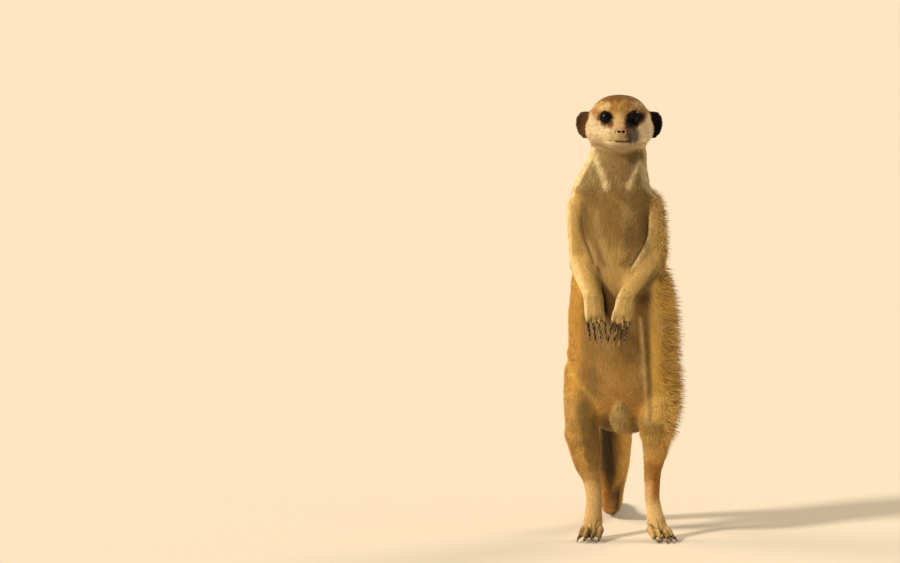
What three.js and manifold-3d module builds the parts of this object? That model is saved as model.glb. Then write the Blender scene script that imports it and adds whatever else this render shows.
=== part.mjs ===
// A meerkat on the lookout: it stands upright on its hind toes with its tail as a prop behind.
// Millimetres. +X is the animal's left, -Y is ahead of it, +Z is up and it stands on Z = 0.
// Every solid is the outline of the coat, so the sizes reach the tips of the fur.
import * as THREE from "three";
import { mergeVertices } from "three/addons/utils/BufferGeometryUtils.js";
import Module from "manifold-3d";

const wasm = await Module();
wasm.setup();

// ---- Driving dimensions ----
const GAP = 0.3; // clear space between neighbouring pieces
const BODY_TURN = -5; // degrees: the chest faces a little to the animal's right
const EYE_LINE = 318.3; // height of the eyes over the floor
const HEAD_X = -0.8; // sideways place of the head
const HEAD_Y = -15; // how far ahead the eyes are of the neck's axis
const HEAD_NOD = 3; // degrees: the muzzle dips
const EYE_RADIUS = 4.9;
const EYE_SPREAD = 10.3; // from the middle of the face to each eye's centre
const EAR_SPREAD = 24.9;
const FORE_CLAW = 18; // length of a digging claw
const FINGER_PITCH = 3.9; // from one finger to the next
const HIND_CLAW = 8;
const ROUND = 2; // exponent of a plain ellipse

const degrees = THREE.MathUtils.degToRad;
const vector = (p) => new THREE.Vector3(...p);
const X_AXIS = new THREE.Vector3(1, 0, 0);

// ---- Tools: closed solids, joined and cut ----

// A closed mesh as a solid that can be joined and cut.
function solid(geometry) {
  const bare = new THREE.BufferGeometry();
  bare.setAttribute("position", geometry.getAttribute("position"));
  if (geometry.index) bare.setIndex(geometry.index);
  const merged = mergeVertices(bare, 1e-4);
  return new wasm.Manifold(
    new wasm.Mesh({
      numProp: 3,
      vertProperties: new Float32Array(merged.attributes.position.array),
      triVerts: new Uint32Array(merged.index.array),
    }),
  );
}

function geometryOf(body) {
  const mesh = body.getMesh();
  const geometry = new THREE.BufferGeometry();
  geometry.setAttribute("position", new THREE.BufferAttribute(mesh.vertProperties, 3));
  geometry.setIndex(new THREE.BufferAttribute(mesh.triVerts, 1));
  geometry.computeVertexNormals();
  return geometry;
}

// A point of a section of half-width w, reaching f one way and b the other, at an angle from its side.
function sectionPoint(angle, w, f, b, exponent) {
  const c = Math.cos(angle);
  const s = Math.sin(angle);
  const along = Math.sign(c) * Math.abs(c) ** (2 / exponent) * w;
  const across = Math.sign(s) * Math.abs(s) ** (2 / exponent) * (s > 0 ? f : b);
  return [along, across];
}

// A closed body lofted through stations { at, wide, front, back, square }, with sections square to the line.
// front is the way of side x line: ahead on a part listed upwards, on top of one listed backwards.
// Each end closes in a dome of the given length. grow makes it fatter all over, for the hollow it lies in.
function loft(stations, { sides = 10, domes = [1, 1], domeRings = 1, grow = 0 } = {}) {
  const line = new THREE.CatmullRomCurve3(stations.map((s) => vector(s.at)));
  const sizes = new THREE.CatmullRomCurve3(
    stations.map((s) => new THREE.Vector3(s.wide, s.front ?? s.wide, s.back ?? s.front ?? s.wide)),
  );
  const squares = new THREE.CatmullRomCurve3(
    stations.map((s, i) => new THREE.Vector3(s.square ?? ROUND, i, 0)),
  );
  const points = [];
  const ringAt = (t, shift, scale) => {
    const along = line.getTangent(t);
    const across = X_AXIS.clone().addScaledVector(along, -along.x).normalize();
    const front = across.clone().cross(along);
    const centre = line.getPoint(t).addScaledVector(along, shift);
    const size = sizes.getPoint(t).addScalar(grow).multiplyScalar(scale);
    const exponent = squares.getPoint(t).x;
    for (let k = 0; k < sides; k++) {
      const [u, v] = sectionPoint((2 * Math.PI * k) / sides, size.x, size.y, size.z, exponent);
      points.push(centre.clone().addScaledVector(across, u).addScaledVector(front, v));
    }
  };
  const dome = (k) => (Math.PI / 2) * (k / (domeRings + 1));
  const [low, high] = domes.map((d) => d + grow);
  for (let k = domeRings; k > 0; k--) ringAt(0, -low * Math.sin(dome(k)), Math.cos(dome(k)));
  const last = stations.length - 1;
  for (let i = 0; i <= last; i++) ringAt(i / last, 0, 1);
  for (let k = 1; k <= domeRings; k++) ringAt(1, high * Math.sin(dome(k)), Math.cos(dome(k)));
  const rings = points.length / sides;
  const startPole = points.push(line.getPoint(0).addScaledVector(line.getTangent(0), -low)) - 1;
  const endPole = points.push(line.getPoint(1).addScaledVector(line.getTangent(1), high)) - 1;
  const index = [];
  for (let k = 0; k < sides; k++) {
    const next = (k + 1) % sides;
    index.push(startPole, k, next);
    const top = (rings - 1) * sides;
    index.push(endPole, top + next, top + k);
    for (let i = 0; i < rings - 1; i++) {
      const [a, b] = [i * sides + k, i * sides + next];
      index.push(a, b + sides, b, a, a + sides, b + sides);
    }
  }
  return new THREE.BufferGeometry().setFromPoints(points).setIndex(index);
}

// Moves the skin near a place, fading out over the reach, as a thumb does in clay.
function press(geometry, { at, reach, by }) {
  const places = geometry.getAttribute("position");
  const centre = vector(at);
  const shift = vector(by);
  const p = new THREE.Vector3();
  for (let i = 0; i < places.count; i++) {
    p.fromBufferAttribute(places, i);
    const fade = Math.exp(-((p.distanceTo(centre) / reach) ** 2));
    p.addScaledVector(shift, fade);
    places.setXYZ(i, p.x, p.y, p.z);
  }
}

// The same dent or swelling on both sides of the face.
function pressBoth(geometry, { at, reach, by }) {
  for (const s of [1, -1]) {
    press(geometry, { at: [s * at[0], at[1], at[2]], reach, by: [s * by[0], by[1], by[2]] });
  }
}

// An egg: a sphere stretched to three half-axes.
function egg([x, y, z], axes, grow = 0, rows = 8, columns = 12) {
  const geometry = new THREE.SphereGeometry(1, columns, rows);
  geometry.scale(axes[0] + grow, axes[1] + grow, axes[2] + grow);
  return geometry.translate(x, y, z);
}

// Everything ahead of a plane, as a box far larger than the animal.
function halfSpace(at, towards) {
  const size = 900;
  const box = new THREE.BoxGeometry(size, size, size).translate(0, 0, size / 2);
  const turn = new THREE.Quaternion().setFromUnitVectors(
    new THREE.Vector3(0, 0, 1),
    vector(towards).normalize(),
  );
  return solid(box.applyQuaternion(turn).translate(...at));
}

// Parts a body into lengths with thin cuts. The planes follow its line, and each looks down that line.
function lengths(body, cuts) {
  const made = [];
  let rest = body;
  for (const { at, towards } of cuts) {
    const n = vector(towards).normalize().multiplyScalar(GAP / 2);
    const after = halfSpace(vector(at).add(n).toArray(), towards);
    const before = halfSpace(vector(at).sub(n).toArray(), vector(towards).negate().toArray());
    made.push(rest.intersect(before));
    rest = rest.intersect(after);
  }
  return [...made, rest];
}

const union = (bodies) => bodies.reduce((a, b) => a.add(b));
const floor = halfSpace([0, 0, 0], [0, 0, -1]);

// ---- Head, in its own frame: -Y ahead of the eyes, +Z above the line between them ----

const headPlace = new THREE.Matrix4()
  .makeRotationX(degrees(HEAD_NOD))
  .setPosition(HEAD_X, HEAD_Y, EYE_LINE);
const onHead = (geometry) => solid(geometry.applyMatrix4(headPlace));

// From the nose back to the nape. front is the crown's side, back the jaw's.
function headShape(grow) {
  const shape = loft(
    [
      { at: [0, -28.5, -10.2], wide: 4.4, front: 4.7, back: 4 },
      { at: [0, -25, -11.2], wide: 6.9, front: 7.6, back: 7.6 },
      { at: [0, -20, -12], wide: 8.9, front: 9.8, back: 10.6 },
      { at: [0, -14.5, -12.2], wide: 10.6, front: 11.8, back: 12.8 },
      { at: [0, -9.5, -12], wide: 12.8, front: 13.8, back: 14 },
      { at: [0, -4.5, -11.4], wide: 16, front: 16.6, back: 15.6, square: 1.9 },
      { at: [0, 0.5, -10.6], wide: 20.6, front: 21.6, back: 17, square: 2.0 },
      { at: [0, 7, -9.6], wide: 23.8, front: 24.6, back: 18.4, square: 2.2 },
      { at: [0, 15, -8.6], wide: 24.2, front: 24.8, back: 19.2, square: 2.3 },
      { at: [0, 23, -7.8], wide: 22, front: 22, back: 19, square: 2.3 },
      { at: [0, 30, -7.2], wide: 17.2, front: 17, back: 16.6, square: 2.2 },
      { at: [0, 35.5, -7], wide: 11.4, front: 10.6, back: 11 },
    ],
    { sides: 20, domes: [1.8, 3.6], grow },
  );
  pressBoth(shape, { at: [11, -7.5, -1], reach: 6.5, by: [-0.8, 3.8, 0] }); // eye sockets
  pressBoth(shape, { at: [8.5, -10, -2.5], reach: 4.2, by: [-0.6, 3, 0] }); // beside the bridge
  pressBoth(shape, { at: [10, -2, 9], reach: 6, by: [0.6, -1.2, 0.6] }); // brow ridges
  pressBoth(shape, { at: [21, 5, -16], reach: 8.5, by: [2.0, -1.4, -0.2] }); // cheek ruffs
  pressBoth(shape, { at: [7.5, -21, -14], reach: 5, by: [1.5, -0.8, 0] }); // whisker pads
  return shape;
}

// The lower jaw's outline from the side, from the chin back along the lips and down to the throat.
function jawCutter(grow) {
  const lips = new THREE.SplineCurve([
    new THREE.Vector2(-34, -14.8 + grow),
    new THREE.Vector2(-24, -15.2 + grow),
    new THREE.Vector2(-17, -16.8 + grow),
    new THREE.Vector2(-12, -16.6 + grow),
    new THREE.Vector2(-8.5 + grow, -15.4 + grow),
  ]);
  const outline = new THREE.Shape(lips.getPoints(8));
  outline.lineTo(-4 + grow, -38);
  outline.lineTo(-34, -38);
  const slab = new THREE.ExtrudeGeometry(outline, { depth: 80, bevelEnabled: false, steps: 1 });
  // The outline's x is the head's Y and its y the head's Z, and the slab runs across the head.
  slab.applyMatrix4(new THREE.Matrix4().makeBasis(
    new THREE.Vector3(0, 1, 0),
    new THREE.Vector3(0, 0, 1),
    new THREE.Vector3(1, 0, 0),
  ));
  return slab.translate(-40, 0, 0);
}

// The bare nose pad, with its two nostrils.
function noseShape(grow) {
  return egg([0, -28.6, -7.1], [3.7, 3.1, 3.0], grow, 6, 10);
}

// An ear is a low half-moon that stands out behind the cheek, dished towards the front.
function earShape(s, grow) {
  const shape = egg([0, 0, 0], [8.6, 4.6, 11], grow, 8, 10);
  press(shape, { at: [s * 2.5, -6, 0], reach: 6.5, by: [0, 3.4, 0] });
  return shape.rotateZ(degrees(s * 24)).rotateY(degrees(s * 6)).translate(s * EAR_SPREAD, 13.5, -7.9);
}

const eyeAt = (s) => [s * EYE_SPREAD, -2, 0];
const eyeShape = (s, grow) => egg(eyeAt(s), [EYE_RADIUS, EYE_RADIUS, EYE_RADIUS], grow, 8, 10);

const both = [["left", 1], ["right", -1]];

function headPieces() {
  const hollows = [noseShape(GAP), ...both.flatMap(([, s]) => [eyeShape(s, GAP), earShape(s, GAP)])];
  const skull = hollows.reduce((body, hollow) => body.subtract(onHead(hollow)), onHead(headShape(0)));
  const pieces = {
    head: skull.subtract(onHead(jawCutter(GAP))),
    lower_jaw: skull.intersect(onHead(jawCutter(0))),
    nose: onHead(noseShape(0)).subtract(nostrils()),
  };
  for (const [name, s] of both) {
    pieces[`ear_${name}`] = onHead(earShape(s, 0));
    pieces[`eye_${name}`] = onHead(eyeShape(s, 0));
  }
  return pieces;
}

function nostrils() {
  return union([1, -1].map((s) => onHead(egg([s * 1.6, -31.6, -7.5], [0.8, 1.6, 0.9], 0, 4, 6))));
}

// ---- Trunk and neck, listed upwards, so that front is ahead ----

function trunkShape() {
  const shape = loft(
    [
      { at: [1.5, 17, 84], wide: 24, front: 13, back: 27 },
      { at: [1.5, 13, 97], wide: 33, front: 23, back: 36 },
      { at: [1.2, 9, 118], wide: 38.5, front: 29, back: 41, square: 2.1 },
      { at: [0.4, 7.5, 142], wide: 41.5, front: 31, back: 41, square: 2.2 },
      { at: [-0.6, 7, 168], wide: 41, front: 31, back: 40, square: 2.2 },
      { at: [-1.4, 6, 194], wide: 38, front: 29.5, back: 38, square: 2.2 },
      { at: [-3, 5, 216], wide: 33, front: 28, back: 35, square: 2.1 },
      { at: [-3.8, 3.5, 236], wide: 31.4, front: 26, back: 31 },
      { at: [-4.6, 2.5, 250], wide: 32.2, front: 22.5, back: 28 },
      { at: [-5.4, 2, 262], wide: 32, front: 19, back: 25 },
      { at: [-4.2, 2.2, 273], wide: 27.4, front: 16.6, back: 22 },
      { at: [-2.2, 3, 284], wide: 22.8, front: 15.8, back: 19.6 },
      { at: [-1.4, 4, 295], wide: 22, front: 15.8, back: 18.4 },
      { at: [0, 5, 305], wide: 17.5, front: 14, back: 16 },
    ],
    { sides: 18, domes: [9, 4] },
  );
  return shape.rotateZ(degrees(BODY_TURN));
}

// The soft furred bulge between the thighs of a male.
const groin = () => egg([-0.5, 2, 91], [9.2, 9, 15.5], 0, 8, 8);

// ---- Fore limbs, listed upwards from the wrist to the shoulder ----

// The joints' places, and how far the fingers fan out.
const FORE = {
  left: {
    shoulder: [22.8, 1, 252], elbow: [27, -4, 212], wrist: [4.4, -34, 187], palm: [1, -36.6, 173],
    fan: -0.2,
  },
  right: {
    shoulder: [-31.2, 1, 252], elbow: [-30.2, -5, 210], wrist: [-20.6, -34, 187], palm: [-19.8, -38, 173],
    fan: 0.14,
  },
};

const between = (a, b, t) => vector(a).lerp(vector(b), t).toArray();

function armShape({ shoulder, elbow, wrist }, grow) {
  const upper = loft(
    [
      { at: elbow, wide: 9, front: 9.4, back: 9.4 },
      { at: between(elbow, shoulder, 0.35), wide: 9.4, front: 11, back: 12 },
      { at: between(elbow, shoulder, 0.7), wide: 9.9, front: 13, back: 15 },
      { at: shoulder, wide: 9.2, front: 13, back: 15.5 },
    ],
    { domes: [8.5, 11], grow },
  );
  const lower = loft(
    [
      { at: wrist, wide: 8, front: 6 },
      { at: between(wrist, elbow, 0.3), wide: 8.7, front: 7 },
      { at: between(wrist, elbow, 0.7), wide: 9, front: 8.6 },
      { at: elbow, wide: 9, front: 9 },
    ],
    { domes: [3, 7], grow },
  );
  return [upper, lower];
}

// Four fingers hang from the palm, and each carries a long claw.
function fingers({ palm, fan }) {
  return [-1.5, -0.5, 0.5, 1.5].map((k) => {
    const outer = Math.abs(k) > 1 ? 1.6 : 0;
    const root = [palm[0] + k * FINGER_PITCH, palm[1], palm[2] + 1 + outer];
    const tip = [root[0] + fan * 7.5 + k * 0.2, root[1] - 1.4, root[2] - 7.5];
    const claw = [tip[0] + fan * FORE_CLAW, tip[1] + 1.5, tip[2] - FORE_CLAW + 1];
    return { root, tip, claw };
  });
}

function handShape(limb) {
  const { wrist, palm } = limb;
  const back = loft(
    [
      { at: between(palm, wrist, -0.1), wide: 7.2, front: 3.8 },
      { at: palm, wide: 8, front: 4.4 },
      { at: between(palm, wrist, 0.55), wide: 8, front: 5.2 },
      { at: wrist, wide: 8, front: 6 },
    ],
    { sides: 8, domes: [2, 3] },
  );
  const digits = fingers(limb).map(({ root, tip }) =>
    loft(
      [
        { at: tip, wide: 1.75, front: 1.9 },
        { at: root, wide: 2.1, front: 2.6 },
      ],
      { sides: 6, domes: [1.2, 1.6], domeRings: 0 },
    ),
  );
  return [back, ...digits];
}

// A claw bends from its root to its tip, and is deeper than wide.
function clawShape(root, tip, size, arch, grow = 0) {
  const middle = vector(root).lerp(vector(tip), 0.5).add(vector(arch)).toArray();
  return loft(
    [
      { at: tip, wide: 0.3, front: 0.35 },
      { at: middle, wide: size * 0.72, front: size * 0.9 },
      { at: root, wide: size, front: size * 1.25 },
    ],
    { sides: 6, domes: [0.3, 0.6], domeRings: 0, grow },
  );
}

function foreLimb(name, limb) {
  const body = union([...armShape(limb, 0), ...handShape(limb)].map(solid));
  const claws = fingers(limb).map(({ tip, claw }) => [between(tip, claw, -0.02), claw]);
  const sockets = claws.map(([root, tip]) => solid(clawShape(root, tip, 1.25, [0, -1.6, 0], GAP)));
  const clear = sockets.reduce((a, b) => a.subtract(b), body);
  const elbowCut = { at: limb.elbow, towards: [0, -0.55, -1] };
  const wristCut = { at: limb.wrist, towards: [0, -0.35, -1] };
  const [upper, lower, hand] = lengths(clear, [elbowCut, wristCut]);
  const pieces = { [`upper_arm_${name}`]: upper, [`forearm_${name}`]: lower, [`hand_${name}`]: hand };
  claws.forEach(([root, tip], i) => {
    pieces[`claw_hand_${name}_${i + 1}`] = solid(clawShape(root, tip, 1.25, [0, -1.6, 0]));
  });
  return pieces;
}

// ---- Hind limbs, listed upwards from the toes to the hip ----

// The joints' places, how far the toes turn out, and half the leg's width at five of them.
const HIND = {
  left: {
    hip: [26, 14, 128], mid: [27.4, 5, 105], knee: [27, -8, 82], calf: [26.8, 0, 64],
    shin: [25.4, 8, 53], heel: [25.2, 12, 43], cannon: [25, 7, 30], ball: [27.8, -1.5, 13], turn: 20,
    girth: { knee: 13, calf: 9.4, shin: 7.4, heel: 6.9, cannon: 6.6 },
  },
  right: {
    hip: [-25, 17, 128], mid: [-26.4, 8, 105], knee: [-28.6, -6, 82], calf: [-24.8, 2, 64],
    shin: [-23.2, 9, 53], heel: [-20, 13, 43], cannon: [-18.3, 8, 30], ball: [-19.4, 0, 13], turn: -12,
    girth: { knee: 14.4, calf: 12.4, shin: 9.9, heel: 7.4, cannon: 7.1 },
  },
};
const TOE_LENGTH = 18;

function legShape(limb, grow) {
  const thigh = loft(
    [
      { at: limb.knee, wide: limb.girth.knee, front: 13, back: 15 },
      { at: between(limb.knee, limb.mid, 0.5), wide: 15.6, front: 15.5, back: 18 },
      { at: limb.mid, wide: 17.2, front: 18.5, back: 23 },
      { at: limb.hip, wide: 17.8, front: 21, back: 26 },
    ],
    { sides: 12, domes: [9, 12], grow },
  );
  const shank = loft(
    [
      { at: limb.heel, wide: limb.girth.heel, front: 6.4, back: 6.6 },
      { at: limb.shin, wide: limb.girth.shin, front: 7.6, back: 8.2 },
      { at: limb.calf, wide: limb.girth.calf, front: 10.2, back: 11.4 },
      { at: limb.knee, wide: limb.girth.knee - 1, front: 12, back: 14 },
    ],
    { domes: [5, 6], grow },
  );
  return [thigh, shank];
}

// The long hind foot rises from the ball to the raised heel, and four toes lie ahead of it.
function footShape(limb) {
  const cannon = loft(
    [
      { at: limb.ball, wide: 8.2, front: 6.8, back: 6.8 },
      { at: between(limb.ball, limb.cannon, 0.5), wide: limb.girth.cannon, front: 5.6, back: 5.8 },
      { at: limb.cannon, wide: limb.girth.cannon, front: 5.4, back: 5.6 },
      { at: limb.heel, wide: limb.girth.heel, front: 6, back: 6.4 },
    ],
    { domes: [9, 5] },
  );
  const digits = toes(limb).map(({ root, knuckle, tip }) =>
    loft(
      [
        { at: tip, wide: 2, front: 2.9, back: 3 },
        { at: knuckle, wide: 2.3, front: 4, back: 4.4 },
        { at: root, wide: 2.8, front: 5, back: 4 },
      ],
      { sides: 6, domes: [1.6, 2], domeRings: 0 },
    ),
  );
  return [cannon, ...digits];
}

function toes({ ball, turn }) {
  const swing = new THREE.Matrix4().makeRotationZ(degrees(turn)).setPosition(ball[0], ball[1], 0);
  const place = (x, y, z) => new THREE.Vector3(x, y, z).applyMatrix4(swing).toArray();
  return [-1.5, -0.5, 0.5, 1.5].map((k) => {
    const short = Math.abs(k) > 1 ? 3.5 : 0;
    const reach = TOE_LENGTH - short;
    return {
      root: place(k * 4.2, -1.5, 7.8),
      knuckle: place(k * 4.9, -reach * 0.55, 6.6),
      tip: place(k * 5.1, -reach, 3.4),
      claw: place(k * 5.5, -reach - HIND_CLAW, 0.7),
    };
  });
}

function hindLimb(name, limb) {
  const body = union([...legShape(limb, 0), ...footShape(limb)].map(solid)).subtract(floor);
  const claws = toes(limb).map(({ tip, claw }) => [between(tip, claw, 0.02), claw]);
  const sockets = claws.map(([root, tip]) => solid(clawShape(root, tip, 1.2, [0, 0, 1.1], GAP)));
  const clear = [...sockets, solid(tailShape(GAP))].reduce((a, b) => a.subtract(b), body);
  const kneeCut = { at: limb.knee, towards: [0, 0.2, -1] };
  const heelCut = { at: limb.heel, towards: [0, -0.1, -1] };
  const [thigh, shank, foot] = lengths(clear, [kneeCut, heelCut]);
  const pieces = { [`thigh_${name}`]: thigh, [`shank_${name}`]: shank, [`foot_${name}`]: foot };
  claws.forEach(([root, tip], i) => {
    pieces[`claw_foot_${name}_${i + 1}`] = solid(clawShape(root, tip, 1.2, [0, 0, 1.1]));
  });
  return pieces;
}

// ---- Tail: down from the rump as a prop, then back along the floor ----

const TAIL = [
  { at: [0, 30, 114], wide: 15 },
  { at: [-0.8, 46, 98], wide: 14.8 },
  { at: [-1.4, 60, 72], wide: 14.2 },
  { at: [-2, 71, 48], wide: 13.2 },
  { at: [-3.2, 79.5, 29], wide: 10.6 },
  { at: [-2.8, 91, 16], wide: 9.2 },
  { at: [-2.6, 106, 10], wide: 8.6 },
  { at: [-2, 126, 7.6], wide: 7.9 },
  { at: [-1, 149, 6.6], wide: 7 },
  { at: [0.4, 169, 5], wide: 5.3 },
  { at: [1.6, 181, 3.4], wide: 3.4 },
];

function tailShape(grow) {
  return loft(TAIL, { domes: [8, 4], grow });
}

function tailPieces() {
  const body = solid(tailShape(0)).subtract(floor);
  const [root, prop, rear, tip] = lengths(body, [
    { at: TAIL[2].at, towards: [0, 0.5, -1] },
    { at: TAIL[6].at, towards: [0, 1, -0.2] },
    { at: TAIL[8].at, towards: [0.06, 1, 0] },
  ]);
  return { tail_root: root, tail_prop: prop, tail_rear: rear, tail_tip: tip };
}

// ---- The whole animal ----

function animal() {
  const head = headPieces();
  const hollows = [
    ...Object.values(FORE).flatMap((limb) => armShape(limb, GAP)),
    ...Object.values(HIND).flatMap((limb) => legShape(limb, GAP)),
    tailShape(GAP),
  ];
  const whole = solid(trunkShape()).add(solid(groin()));
  const headHollow = [onHead(headShape(GAP)), ...both.map(([, s]) => onHead(earShape(s, GAP)))];
  const trunk = [...hollows.map(solid), ...headHollow].reduce((a, b) => a.subtract(b), whole);
  const [neck, chest, belly] = lengths(trunk, [
    { at: [0, 0, 269], towards: [0, 0.25, -1] },
    { at: [0, 0, 190], towards: [0, 0, -1] },
  ]);
  const limbs = [
    ...Object.entries(FORE).map(([name, limb]) => foreLimb(name, limb)),
    ...Object.entries(HIND).map(([name, limb]) => hindLimb(name, limb)),
  ];
  return Object.assign({ ...head, neck, chest, belly }, ...limbs, tailPieces());
}

// ---- Colours ----

const finish = (color, roughness) => new THREE.MeshStandardMaterial({ color, roughness, metalness: 0 });
const MATERIALS = {
  coat: finish("#b98f52", 0.9),
  face: finish("#d8b988", 0.9),
  ear: finish("#2c2018", 0.9),
  eye: finish("#120b07", 0.08),
  nose: finish("#a97f5c", 0.45),
  claw: finish("#4a3a2a", 0.4),
  tail_tip: finish("#2e1d12", 0.9),
};

function materialOf(name) {
  const kind = ["ear", "eye", "nose", "claw", "tail_tip"].find((k) => name.startsWith(k));
  return MATERIALS[kind ?? (name === "head" || name === "lower_jaw" ? "face" : "coat")];
}

const group = new THREE.Group();
for (const [name, body] of Object.entries(animal())) {
  const mesh = new THREE.Mesh(geometryOf(body), materialOf(name));
  mesh.name = name;
  group.add(mesh);
}

// The origin goes to the middle of the floor under the animal's box.
const box = new THREE.Box3().setFromObject(group);
const middle = box.getCenter(new THREE.Vector3());
group.position.set(-middle.x, -middle.y, -box.min.z);

export default group;
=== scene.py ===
import math

import bmesh
import bpy
import numpy as np
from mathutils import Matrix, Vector
from mathutils.kdtree import KDTree


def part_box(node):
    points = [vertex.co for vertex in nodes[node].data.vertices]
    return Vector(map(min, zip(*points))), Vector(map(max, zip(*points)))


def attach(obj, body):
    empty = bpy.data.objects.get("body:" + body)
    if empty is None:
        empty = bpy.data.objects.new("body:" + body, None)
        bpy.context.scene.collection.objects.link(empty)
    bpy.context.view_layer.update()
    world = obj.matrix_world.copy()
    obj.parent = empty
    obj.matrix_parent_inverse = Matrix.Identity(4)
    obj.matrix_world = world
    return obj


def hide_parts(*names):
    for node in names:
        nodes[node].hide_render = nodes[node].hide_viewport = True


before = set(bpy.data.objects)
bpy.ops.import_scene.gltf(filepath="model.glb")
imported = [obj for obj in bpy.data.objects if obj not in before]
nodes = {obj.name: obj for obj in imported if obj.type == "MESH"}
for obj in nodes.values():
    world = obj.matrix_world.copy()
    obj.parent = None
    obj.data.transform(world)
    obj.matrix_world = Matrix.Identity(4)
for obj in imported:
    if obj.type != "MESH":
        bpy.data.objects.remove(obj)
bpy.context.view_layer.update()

# A meerkat on the lookout, life size. Metres: it faces -Y, its own left is +X, and the floor is Z = 0.
mm = 0.001
sides = {"left": 1, "right": -1}
digits = (1, 2, 3, 4)
chance = np.random.default_rng(11)
print("frame loaded:", len(nodes), "nodes")


def linear(colour):  # sRGB hex to the linear colour that shaders work in
    value = np.array([int(colour[i:i + 2], 16) / 255 for i in (1, 3, 5)])
    return np.where(value <= 0.04045, value / 12.92, ((value + 0.055) / 1.055) ** 2.4)


def ramp(low, high, x):  # an eased step from 0 at low to 1 at high
    t = np.clip((x - low) / (high - low), 0, 1)
    return t * t * (3 - 2 * t)


def hump(x, middle, width):  # 1 at the middle, falling off over the width
    return np.exp(-((x - middle) / width) ** 2)


def blend(a, b, t):  # rows of a turned towards b by the amounts t
    return a + (np.asarray(b) - a) * np.asarray(t)[..., None]


def unit(v):
    return v / np.maximum(np.linalg.norm(v, axis=-1, keepdims=True), 1e-12)


def flatTo(v, normal):  # the part of v that lies along the surface, as a unit vector
    return unit(v - (v * normal).sum(-1, keepdims=True) * normal)


def middleOf(*names):
    corners = np.array([list(corner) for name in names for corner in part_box(name)])
    return (corners.min(0) + corners.max(0)) / 2


def triangleAreas(a, b, c):
    return np.linalg.norm(np.cross(b - a, c - a), axis=1) / 2


def randomShares(count):  # shares of two sides of a triangle that fall evenly over it
    u, v = chance.random((2, count))
    return np.where(u + v > 1, 1 - u, u), np.where(u + v > 1, 1 - v, v)


def nearestOf(places):  # finds the nearest of the places
    tree = KDTree(len(places))
    for i, place in enumerate(places):
        tree.insert(place, i)
    tree.balance()
    return tree


def ripple(places, size, key):  # smooth noise from -1 to 1 with waves about as long as size
    source = np.random.default_rng(key)
    total = 0
    for turn in range(7):
        way = unit(source.normal(size=3)) * 2 * math.pi / (size * source.uniform(0.7, 1.5))
        total = total + np.sin(places @ way + source.uniform(0, 6.28))
    return total / 4.2


def addNode(tree, kind, inputs={}, **settings):  # a node given as an input stands for its first output
    node = tree.nodes.new(kind)
    for name, value in settings.items():
        setattr(node, name, value)
    for name, value in inputs.items():
        if isinstance(value, bpy.types.Node):
            value = value.outputs[0]
        if isinstance(value, bpy.types.NodeSocket):
            tree.links.new(value, node.inputs[name])
        else:
            node.inputs[name].default_value = value
    return node


def newMaterial(name):
    material = bpy.data.materials.new(name)
    material.use_nodes = True
    material.node_tree.nodes.clear()
    return material, material.node_tree


def showShader(tree, settings):
    shader = addNode(tree, "ShaderNodeBsdfPrincipled", settings)
    addNode(tree, "ShaderNodeOutputMaterial", {"Surface": shader})


def attributeOf(tree, name, socket="Color"):
    return addNode(tree, "ShaderNodeAttribute", attribute_name=name).outputs[socket]


def noiseIn(tree, scale, detail=2.0, stretch=None):  # noise over the object's own space, in metres
    place = addNode(tree, "ShaderNodeTexCoord").outputs["Object"]
    if stretch:
        place = addNode(tree, "ShaderNodeMapping", {"Vector": place, "Scale": stretch})
    return addNode(tree, "ShaderNodeTexNoise", {"Vector": place, "Scale": scale, "Detail": detail})


def mixed(tree, share, a, b, kind="MIX"):  # two colours; an array stands for a plain linear colour
    a, b = ((*value, 1) if isinstance(value, np.ndarray) else value for value in (a, b))
    node = addNode(tree, "ShaderNodeMix", {0: share, 6: a, 7: b}, data_type="RGBA", blend_type=kind)
    return node.outputs[2]


def ranged(tree, value, low, high, fromLow=0.0, fromHigh=1.0):
    inputs = {0: value, 1: fromLow, 2: fromHigh, 3: low, 4: high}
    return addNode(tree, "ShaderNodeMapRange", inputs)


def addObject(name, mesh, *materials):
    thing = bpy.data.objects.new(name, mesh)
    bpy.context.scene.collection.objects.link(thing)
    for material in materials:
        mesh.materials.append(material)
    return thing


def evaluated(thing, name):  # a plain mesh of the object as its modifiers leave it
    graph = bpy.context.evaluated_depsgraph_get()
    mesh = bpy.data.meshes.new_from_object(thing.evaluated_get(graph))
    mesh.name = name
    return mesh


def modified(thing, name, kind, **settings):  # the mesh as a modifier leaves it; the object itself goes
    modifier = thing.modifiers.new(kind.lower(), kind)
    for key, value in settings.items():
        setattr(modifier, key, value)
    mesh = evaluated(thing, name)
    bpy.data.objects.remove(thing)
    return mesh


def placesOf(mesh):
    flat = np.empty(len(mesh.vertices) * 3)
    mesh.vertices.foreach_get("co", flat)
    return flat.reshape(-1, 3)


def normalsOf(mesh):
    flat = np.empty(len(mesh.vertices) * 3, np.float32)
    mesh.vertex_normals.foreach_get("vector", flat)
    return flat.reshape(-1, 3).astype(float)


def edgesOf(mesh):
    flat = np.empty(len(mesh.edges) * 2, np.int32)
    mesh.edges.foreach_get("vertices", flat)
    return flat.reshape(-1, 2)


def moveTo(mesh, places):
    mesh.vertices.foreach_set("co", places.astype(np.float32).ravel())
    mesh.update()


def shadeSmooth(mesh):
    mesh.polygons.foreach_set("use_smooth", np.ones(len(mesh.polygons), bool))


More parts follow.
